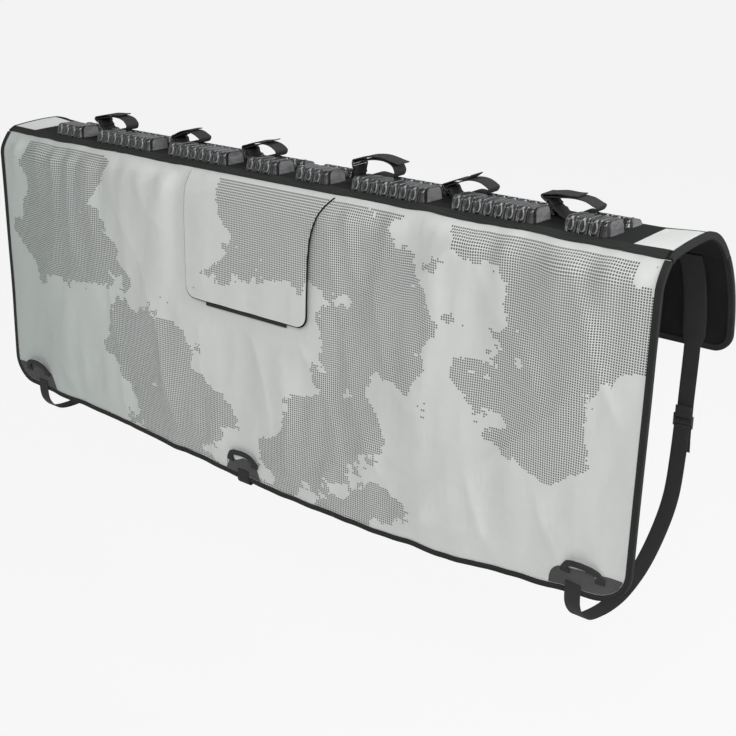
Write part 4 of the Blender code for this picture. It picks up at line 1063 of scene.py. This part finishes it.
def bike_strap_path(strap):
    """Route of one strap: sewn tail, low bar, down to the top, over a block, loop, high bar, tip."""
    _, _, fall, end, height, tip_x, tip_z = strap
    fold, high, low, along, across = strap_frame(strap)
    base = GAP + STRAP_WEB / 2
    layer = STRAP_WEB + 2 * GAP
    tail = [low + reach * along + (layer - fold) * across for reach in (0.013, 0.010, 0.007)]
    round_low = turn_points(low, fold, 90 - fall, 270 - fall)
    leave = low - fold * across
    straight = leave + 0.012 * along
    foot = straight.x + (straight.y - base) * along.x / -along.y + 0.004
    climb = STRAP_CLIMB
    middle = 0.5 * end
    rise = atan2(height - high.y, middle - high.x)
    run = Vector((cos(rise), sin(rise)))
    off = Vector((-sin(rise), cos(rise)))
    loop = smooth_path(
        [
            *(leave + 0.007 * along, straight, (foot - 0.003, base + 0.0012)),
            *((foot + 0.001, base), (foot + 0.006, base + 0.0016), (0.0205, climb - 0.0030)),
            *((0.0275, climb), (end - 0.014, climb + 0.0004), (end - 0.003, climb + 0.0042)),
            *((end, climb + 0.0110), (end - 0.006, height - 0.0065), (end - 0.020, height - 0.0010)),
            *((middle, height), high + 0.012 * run - 0.0008 * off),
        ],
        PATH_STEPS,
    )
    turn = degrees(rise)
    round_high = turn_points(high, fold, 270 + turn, 90 + turn)
    above = min(middle, tip_x - 0.010)
    between = (high.x + above) / 2

    def chord(x):
        return high.y + (height - high.y) * (x - high.x) / (middle - high.x)

    over = smooth_path(
        [
            high + 0.009 * run + (fold + 0.0006) * off,
            (between, chord(between) + layer + 0.0030),
            (above, chord(above) + layer + 0.0018),
            (tip_x, tip_z),
        ],
        PATH_STEPS,
    )
    return [*tail, *round_low, *loop, *round_high, *over]


def ring_piece(name):
    """A wire ring with rounded corners, bent from a torus, with a plate across its middle."""
    deselect()
    bpy.ops.mesh.primitive_torus_add(
        major_segments=64, minor_segments=12, major_radius=0.01, minor_radius=RING_WIRE / 2
    )
    obj = bpy.context.object
    obj.name = obj.data.name = name
    corner = RING_CORNER
    wide = STRAP_WIDTH / 2 + RING_ROOM
    tall = RING_LENGTH / 2 - corner
    for vertex in obj.data.vertices:
        angle = atan2(vertex.co.y, vertex.co.x)
        out = hypot(vertex.co.x, vertex.co.y) - 0.01
        ray = Vector((cos(angle), sin(angle)))
        x, y = (max(min(copysign(abs(part) ** 0.35, part) * 1.3, 1), -1) for part in ray)
        flat = Vector((wide * x, tall * y)) + (corner + out) * ray
        vertex.co = (flat.x, flat.y, vertex.co.z)
    deselect()
    bpy.ops.mesh.primitive_cube_add(size=1.0)
    plate = bpy.context.object
    plate.scale = (2 * wide + 2 * corner, *RING_PLATE)
    bpy.ops.object.transform_apply(location=False, rotation=False, scale=True)
    apply_modifier(plate, "BEVEL", width=0.0006, segments=2)
    apply_modifier(obj, "BOOLEAN", operation="UNION", solver="EXACT", object=plate)
    bpy.data.objects.remove(plate)
    return obj


class PAD_OT_bike_straps(Maker, bpy.types.Operator):
    """Thread the six bike straps through their rings"""

    bl_idname = "pad.bike_straps"
    bl_label = "Bike straps"

    def make(self, context):
        _, spaces = block_places()
        back = Vector((0.0, 1.0, 0.0))
        for number, (space, strap) in enumerate(zip(spaces, BIKE_STRAPS), start=1):
            flat = bike_strap_path(strap)
            path = [Vector((space + p[0], STRAP_Y, DECK_TOP + p[1])) for p in flat]
            name = f"bike_webbing_{number}"
            web = ribbon(name, path, lambda k: back, lambda k: STRAP_WIDTH, STRAP_WEB)
            dress(web, "webbing", f"bike_strap_{number}", angle=50)
            ring = ring_piece(f"wire_ring_{number}")
            _, high, low, _, _ = strap_frame(strap)
            middle = (high + low) / 2
            stand = Matrix.Rotation(radians(90), 4, "X")
            tilt = Matrix.Rotation(radians(90 - strap[2]), 4, "Z")
            across = Matrix.Rotation(radians(90), 4, "Y")
            seat = Matrix.Translation((space, STRAP_Y, DECK_TOP)) @ stand
            place = seat @ Matrix.Translation((middle.x, middle.y, 0.0)) @ tilt @ across
            ring.data.transform(place)
            dress(ring, "plastic", f"strap_ring_{number}", angle=60)


# Access flap


def flap_hem(x):
    past = max(abs(x - FLAP_X) - (FLAP_HALF - FLAP_CORNER_R), 0.0)
    radius = FLAP_CORNER_R
    return FLAP_DROP - (radius - sqrt(max(radius * radius - past * past, 0.0)))


def flap_spread(drop):
    return FLAP_TOP_SPREAD * exp(-drop / FLAP_SPREAD_RUN)


def flap_lift(x, drop):
    """Height of the flap over the sheet: more at its free edge, with a few soft dents."""
    lift = FLAP_LIFT * smooth_step(drop / 0.10)
    dents = field(16.0 * x, 9.0 * drop, 6.2)
    return GAP + lift + 0.0026 * smooth_step((drop - 0.03) / 0.06) * (0.6 + dents)


class PAD_OT_access_flap(Maker, bpy.types.Operator):
    """Lay the access flap, its dark backing and its pull strip"""

    bl_idname = "pad.access_flap"
    bl_label = "Access flap"

    def make(self, context):
        stations = [FLAP_X + x for x in even_stations(FLAP_HALF, FLAP_CORNER_R, 60)]
        columns, rows = len(stations) - 1, 60

        def spot(u, v, grow=0.0):
            across = stations[round(u * columns)]
            hem = flap_hem(across)
            drop = FLAP_START + (hem - FLAP_START) * (1 - v)
            share = (across - FLAP_X) / FLAP_HALF
            x = across + flap_spread(drop) * (share + 1) / 2 + grow * share
            return x, drop + grow * (1 - v) ** 6

        layers = (
            ("flap_panel", "access_flap", FLAP_BACKING + GAP + TARPAULIN, TARPAULIN, "tarpaulin", 0.0),
            ("flap_facing", "flap_backing", FLAP_BACKING, FLAP_BACKING, "lining", 0.0022),
        )
        for name, node, out, thickness, slot, grow in layers:

            def place(u, v, out=out, grow=grow):
                x, drop = spot(u, v, grow)
                return front_point(x, drop, flap_lift(x, drop) + out)

            obj = grid_piece(name, columns, rows, place, spot)
            thicken(obj, thickness, -1)
            dress(obj, slot, node, angle=60)

        def strip(u, v):
            x = FLAP_X + PULL_STRIP_LENGTH / 2 * (2 * u - 1)
            drop = FLAP_DROP + PULL_STRIP_SHOWS - v * (PULL_STRIP_SHOWS + PULL_STRIP_TUCK)
            return front_point(x, drop, FLAP_LIFT)

        pull = grid_piece("pull_webbing", 80, 8, strip)
        thicken(pull, PULL_STRIP, -1, 0.0006)
        dress(pull, "webbing", "flap_pull_strip")
        for name in ("flap_hook_tape", "flap_loop_tape"):
            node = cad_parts[name]
            node.data.materials.clear()
            node.data.materials.append(FINISHES["plastic"])


# Hem


def patch_piece(name, node, low, high):
    """A patch along the hem, with slanting inner ends or, at the right, a rounded one."""
    inset = TAPE_FACE + PATCH_ROOM
    rounded = high > HALF - FRONT_CORNER_R

    def place(u, v):
        left = low + (PATCH_SLANT * v if low > FRONT_CORNER_R - HALF and not rounded else 0.0)
        right = high - (PATCH_SLANT * v if high < HALF - FRONT_CORNER_R else 0.0)
        x = left + u * (right - left)
        foot = hem_drop(x, inset)
        share = 1.0
        if rounded:
            share = 0.35 + 0.65 * sqrt(1 - max(1 - (x - low) / 0.020, 0.0) ** 2)
        head = hem_line(x) - inset - share * PATCH_HEIGHT - 0.003 * sin(pi * u)
        return front_point(x, foot + v * (head - foot), GAP)

    obj = grid_piece(name, 60, 20, place)
    thicken(obj, PATCH, 1, 0.0003)
    return dress(obj, "patch", node)


def handle_piece(name, node, middle):
    """A webbing arch, folded double, that rises from two broad feet and stands off the sheet."""
    out = GAP + PATCH + GAP + HANDLE_WEB / 2
    left = [(-x, rise, out + share * HANDLE_BULGE) for x, rise, share in HANDLE_ARCH]
    right = [(-x, rise, off) for x, rise, off in reversed(left)]
    outline = smooth_path(left + right, 8)
    columns = len(outline) - 1
    base = hem_line(middle) - TAPE_FACE - PATCH_ROOM - PATCH_HEIGHT - 0.001
    along = lengths_along(outline)

    def wide(k):
        return HANDLE_FOOT + (HANDLE_GRIP - HANDLE_FOOT) * smooth_step((outline[k].y + 0.006) / 0.012)

    def place(u, v):
        k = round(u * columns)
        run = outline[min(k + 1, columns)] - outline[max(k - 1, 0)]
        side = Vector((-run.y, run.x)).normalized() * wide(k) * (v - 0.5)
        x, rise, off = outline[k]
        return front_point(middle + x + side.x, base - rise - side.y, off)

    def measure(u, v):
        k = round(u * columns)
        return along[k], v * wide(k)

    obj = grid_piece(name, columns, 6, place, measure)
    thicken(obj, HANDLE_WEB, 0, 0.0010)
    return dress(obj, "webbing", node)


def hem_sets():
    """Name, patch's ends, handle's and strap's middle, strap's drift and whether it hangs taut."""
    end = HALF - TAPE_FACE - 3 * PATCH_ROOM
    near, far = (MIDDLE_STRAP_X + side * MIDDLE_PATCH_WIDTH / 2 for side in (-1, 1))
    return (
        ("left", -end, -end + END_PATCH_WIDTH, -END_HANDLE_X, -END_STRAP_X, -TIE_DRIFT, False),
        ("middle", near, far, MIDDLE_STRAP_X, MIDDLE_STRAP_X, 0.0, True),
        ("right", end - END_PATCH_WIDTH, end, END_HANDLE_X, END_STRAP_X, TIE_DRIFT, False),
    )


class PAD_OT_hem(Maker, bpy.types.Operator):
    """Sew the patches and the grab handles to the hem"""

    bl_idname = "pad.hem"
    bl_label = "Patches and handles"

    def make(self, context):
        for name, low, high, handle_x, _, _, _ in hem_sets():
            patch_piece(f"grey_patch_{name}", f"hem_patch_{name}", low, high)
            handle_piece(f"webbing_handle_{name}", f"grab_handle_{name}", handle_x)


def slider_fold():
    """Radius of the webbing's middle where it turns round a square bar."""
    corner = hypot(SLIDER_BAR / 2, SLIDER_BAR / 2)
    return (corner + GAP + TIE_WEB / 2) / cos(0.5 * pi / FOLD_STEPS)


def tie_strap_path(middle, taut):
    """Route of a tie-down strap in YZ: patch, hem, sag under the tailgate, slider and tail."""
    out = TAPE_CLEARANCE + TAPE + GAP + TIE_WEB / 2
    foot = hem_line(middle)
    sewn = front_point(middle, foot - TAPE_FACE - TIE_SEWN, out)
    hem = front_point(middle, foot - 0.004, out)
    fold = slider_fold()
    low = SLIDER_Z
    rear = SLIDER_Y - fold
    if taut:
        sag = [
            (hem.y, hem.z - 0.008),
            (hem.y + 0.006, hem.z - 0.015),
            (hem.y + 0.022, hem.z - 0.010),
            (-0.060, hem.z + 0.036),
            (0.080, hem.z + 0.148),
            (rear - 0.018, low - 0.030),
        ]
    else:
        sag = [
            (hem.y, hem.z - 0.008),
            (hem.y + 0.003, hem.z - 0.028),
            (-0.116, hem.z - 0.057),
            (-0.067, hem.z - 0.071),
            (-0.010, hem.z - 0.068),
            (0.050, hem.z - 0.040),
            (0.102, hem.z + 0.012),
            (0.140, hem.z + 0.076),
            (rear - 0.004, hem.z + 0.150),
        ]
    run = smooth_path([(sewn.y, sewn.z), (hem.y, hem.z), *sag, (rear, low)], PATH_STEPS)
    turn = turn_points((SLIDER_Y, low), fold, 180, 0)
    tail = [
        (SLIDER_Y + fold + 0.0015, low - 0.5 * TIE_TAIL),
        (SLIDER_Y + fold + 0.0040, low - TIE_TAIL),
    ]
    return [tuple(p) for p in run] + turn[1:] + tail


def buckle_web_path():
    """Route of the short web in YZ: sewn return, upper bar, back hem and the flap's inner face."""
    fold = slider_fold()
    high = SLIDER_Z + SLIDER_BARS
    off = -(BACK_SHEET + TAPE_CLEARANCE + TAPE + GAP + TIE_WEB / 2)
    near = -(BACK_SHEET + GAP + TIE_WEB / 2)
    turn = turn_points((SLIDER_Y, high), fold, 180, 360)
    hem = back_point(0.0, -BACK_DROP, off)
    lip = back_point(0.0, -BACK_DROP + TAPE_FACE + 0.001, off)
    heights = spaced(lip.z + 0.008, WEB_TOP_Z, 12)
    sewn = [back_point(0.0, z, near) for z in heights]
    rise = [(SLIDER_Y + fold, high + 0.030), (hem.y, -BACK_DROP - 0.020)]
    rise += [(point.y, point.z) for point in (hem, lip, *sewn)]
    return [(SLIDER_Y - fold, high + WEB_RETURN), *turn, *rise]


def slider_piece(name, node, x):
    """The node's three-bar frame, with a broad grip over its middle bar."""
    deselect()
    bpy.ops.mesh.primitive_cube_add(size=1.0, location=(x, SLIDER_Y, SLIDER_Z + SLIDER_BARS / 2))
    grip = bpy.context.object
    grip.name = grip.data.name = name
    grip.scale = (TIE_WIDTH + GRIP_PAST, GRIP_DEEP, SLIDER_BARS - 2 * GRIP_ROOM)
    bpy.ops.object.transform_apply(location=True, rotation=False, scale=True)
    apply_modifier(grip, "BEVEL", width=0.0011, segments=3)
    deselect()
    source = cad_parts[node]
    body = source.copy()
    body.data = source.data.copy()
    bpy.context.collection.objects.link(body)
    apply_modifier(grip, "BOOLEAN", operation="UNION", solver="EXACT", object=body)
    bpy.data.objects.remove(body)
    return dress(grip, "plastic", node, angle=35)


class PAD_OT_ties(Maker, bpy.types.Operator):
    """Hang the tie-down straps with their sliders and short webs"""

    bl_idname = "pad.ties"
    bl_label = "Tie-down straps"

    def make(self, context):
        ahead = Vector((1.0, 0.0, 0.0))
        for name, _, _, _, strap_x, drift, taut in hem_sets():
            rear_x = strap_x + drift
            flat = tie_strap_path(strap_x, taut)
            last = len(flat) - 1
            path = [
                Vector((strap_x + drift * smooth_step((k / last - 0.2) / 0.5), y, z))
                for k, (y, z) in enumerate(flat)
            ]
            tie = ribbon(
                f"tie_webbing_{name}", path, lambda k: ahead, lambda k: TIE_WIDTH, TIE_WEB, edge=0.0005
            )
            dress(tie, "webbing", f"tie_strap_{name}", angle=50)
            route = [Vector((rear_x, y, z)) for y, z in buckle_web_path()]

            def width(k, route=route):
                wide = smooth_step((route[k].z + BACK_DROP - 0.004) / 0.012)
                return TIE_WIDTH + (WEB_WIDE - TIE_WIDTH) * wide

            web = ribbon(f"short_web_{name}", route, lambda k: ahead, width, TIE_WEB, edge=0.0005)
            dress(web, "webbing", f"buckle_web_{name}", angle=50)
            slider = slider_piece(f"slider_{name}", f"strap_slider_{name}", rear_x)
            round(lengths_along(path)[-1], 3)


# Studio: each lamp's name, place, width and power, then the photo's camera
LAMPS = (
    ("key", (2.2, -3.0, 2.2), 2.0, 72.0),
    ("fill", (-2.6, -2.4, 1.6), 2.4, 12.0),
    ("top", (0.2, 1.8, 2.6), 1.6, 40.0),
    ("side", (3.4, -0.2, 1.3), 1.3, 70.0),
)
LAMP_TARGET = (0, 0, -0.2)
FLOOR_Z, FLOOR_SIZE = -1.25, 90.0
CAMERA_PLACE = (1.5546, -1.7329, 0.5194)
CAMERA_DIP, CAMERA_TURN = 21.463, 38.998
FOCAL_PIXELS, PHOTO_PIXELS, SENSOR = 1238.8, 736, 36.0


class PAD_OT_stage(bpy.types.Operator):
    """Set the floor, the lights and the camera"""

    bl_idname = "pad.stage"
    bl_label = "Stage"

    def execute(self, context):
        scene = context.scene
        scene.view_settings.view_transform = "Standard"
        deselect()
        bpy.ops.mesh.primitive_grid_add(
            x_subdivisions=4, y_subdivisions=4, size=FLOOR_SIZE, location=(0, 0, FLOOR_Z)
        )
        bpy.ops.object.transform_apply(location=True, rotation=False, scale=False)
        floor = context.object
        floor.name = "studio_floor"
        finish = Finish("studio_floor", Roughness=0.9, Specular_IOR_Level=0.1)
        finish.shader.inputs["Base Color"].default_value = (0.86, 0.86, 0.86, 1.0)
        glow = {"Color": (0.95, 0.95, 0.95, 1.0), "Strength": 1.0}
        white = finish.node("ShaderNodeEmission", inputs=glow)
        seen = finish.node("ShaderNodeLightPath", output="Is Camera Ray")
        mirror = finish.node("ShaderNodeLightPath", output="Is Glossy Ray")
        share = seen.larger(mirror) * 0.90
        shader = Value(finish.tree, finish.shader.outputs[0])
        mixed = finish.node("ShaderNodeMixShader", inputs={0: share, 1: shader, 2: white})
        output = finish.tree.nodes["Material Output"]
        finish.tree.links.new(mixed.socket, output.inputs["Surface"])
        floor.data.materials.append(finish.material)

        world = bpy.data.worlds.new("studio")
        scene.world = world
        world.use_nodes = True
        tree = world.node_tree
        back = tree.nodes["Background"]
        back.inputs["Color"].default_value = (0.96, 0.98, 1.0, 1.0)
        back.inputs["Strength"].default_value = 0.42
        plain = tree.nodes.new("ShaderNodeBackground")
        plain.inputs["Color"].default_value = (0.93, 0.93, 0.93, 1.0)
        path = tree.nodes.new("ShaderNodeLightPath")
        mix = tree.nodes.new("ShaderNodeMixShader")
        tree.links.new(path.outputs["Is Camera Ray"], mix.inputs[0])
        tree.links.new(back.outputs[0], mix.inputs[1])
        tree.links.new(plain.outputs[0], mix.inputs[2])
        tree.links.new(mix.outputs[0], tree.nodes["World Output"].inputs["Surface"])

        for name, where, size, power in LAMPS:
            deselect()
            bpy.ops.object.light_add(type="AREA", location=where)
            lamp = context.object
            lamp.name = f"lamp_{name}"
            lamp.data.shape = "DISK"
            lamp.data.size = size
            lamp.data.energy = power
            aim = Vector(LAMP_TARGET) - Vector(where)
            lamp.rotation_euler = aim.to_track_quat("-Z", "Y").to_euler()

        deselect()
        turn = (radians(90 - CAMERA_DIP), 0, radians(CAMERA_TURN))
        bpy.ops.object.camera_add(location=CAMERA_PLACE, rotation=turn)
        camera = context.object
        camera.data.sensor_width = SENSOR
        camera.data.lens = FOCAL_PIXELS / PHOTO_PIXELS * SENSOR
        camera.data.clip_start = 0.01
        scene.camera = camera
        return {"FINISHED"}


OPERATORS = (
    PAD_OT_stage,
    PAD_OT_ties,
    PAD_OT_front,
    PAD_OT_top,
    PAD_OT_back,
    PAD_OT_tapes,
    PAD_OT_blocks,
    PAD_OT_bike_straps,
    PAD_OT_access_flap,
    PAD_OT_hem,
)


class PAD_PT_panel(bpy.types.Panel):
    bl_label = "Bike pad"
    bl_idname = "PAD_PT_panel"
    bl_space_type = "VIEW_3D"
    bl_region_type = "UI"
    bl_category = "Bike pad"

    def draw(self, context):
        look = context.scene.pad_look
        for name in look.bl_rna.properties.keys():
            if name not in ("rna_type", "name"):
                self.layout.prop(look, name)
        for operator in OPERATORS:
            self.layout.operator(operator.bl_idname)


def register():
    for kind in (PadLook, *OPERATORS, PAD_PT_panel):
        bpy.utils.register_class(kind)
    bpy.types.Scene.pad_look = PointerProperty(type=PadLook)


def unregister():
    del bpy.types.Scene.pad_look
    for kind in reversed((PadLook, *OPERATORS, PAD_PT_panel)):
        bpy.utils.unregister_class(kind)


def main():
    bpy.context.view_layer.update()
    register()
    for operator in OPERATORS:
        group, call = operator.bl_idname.split(".")
        getattr(getattr(bpy.ops, group), call)()


if __name__ == "__main__":
    main()
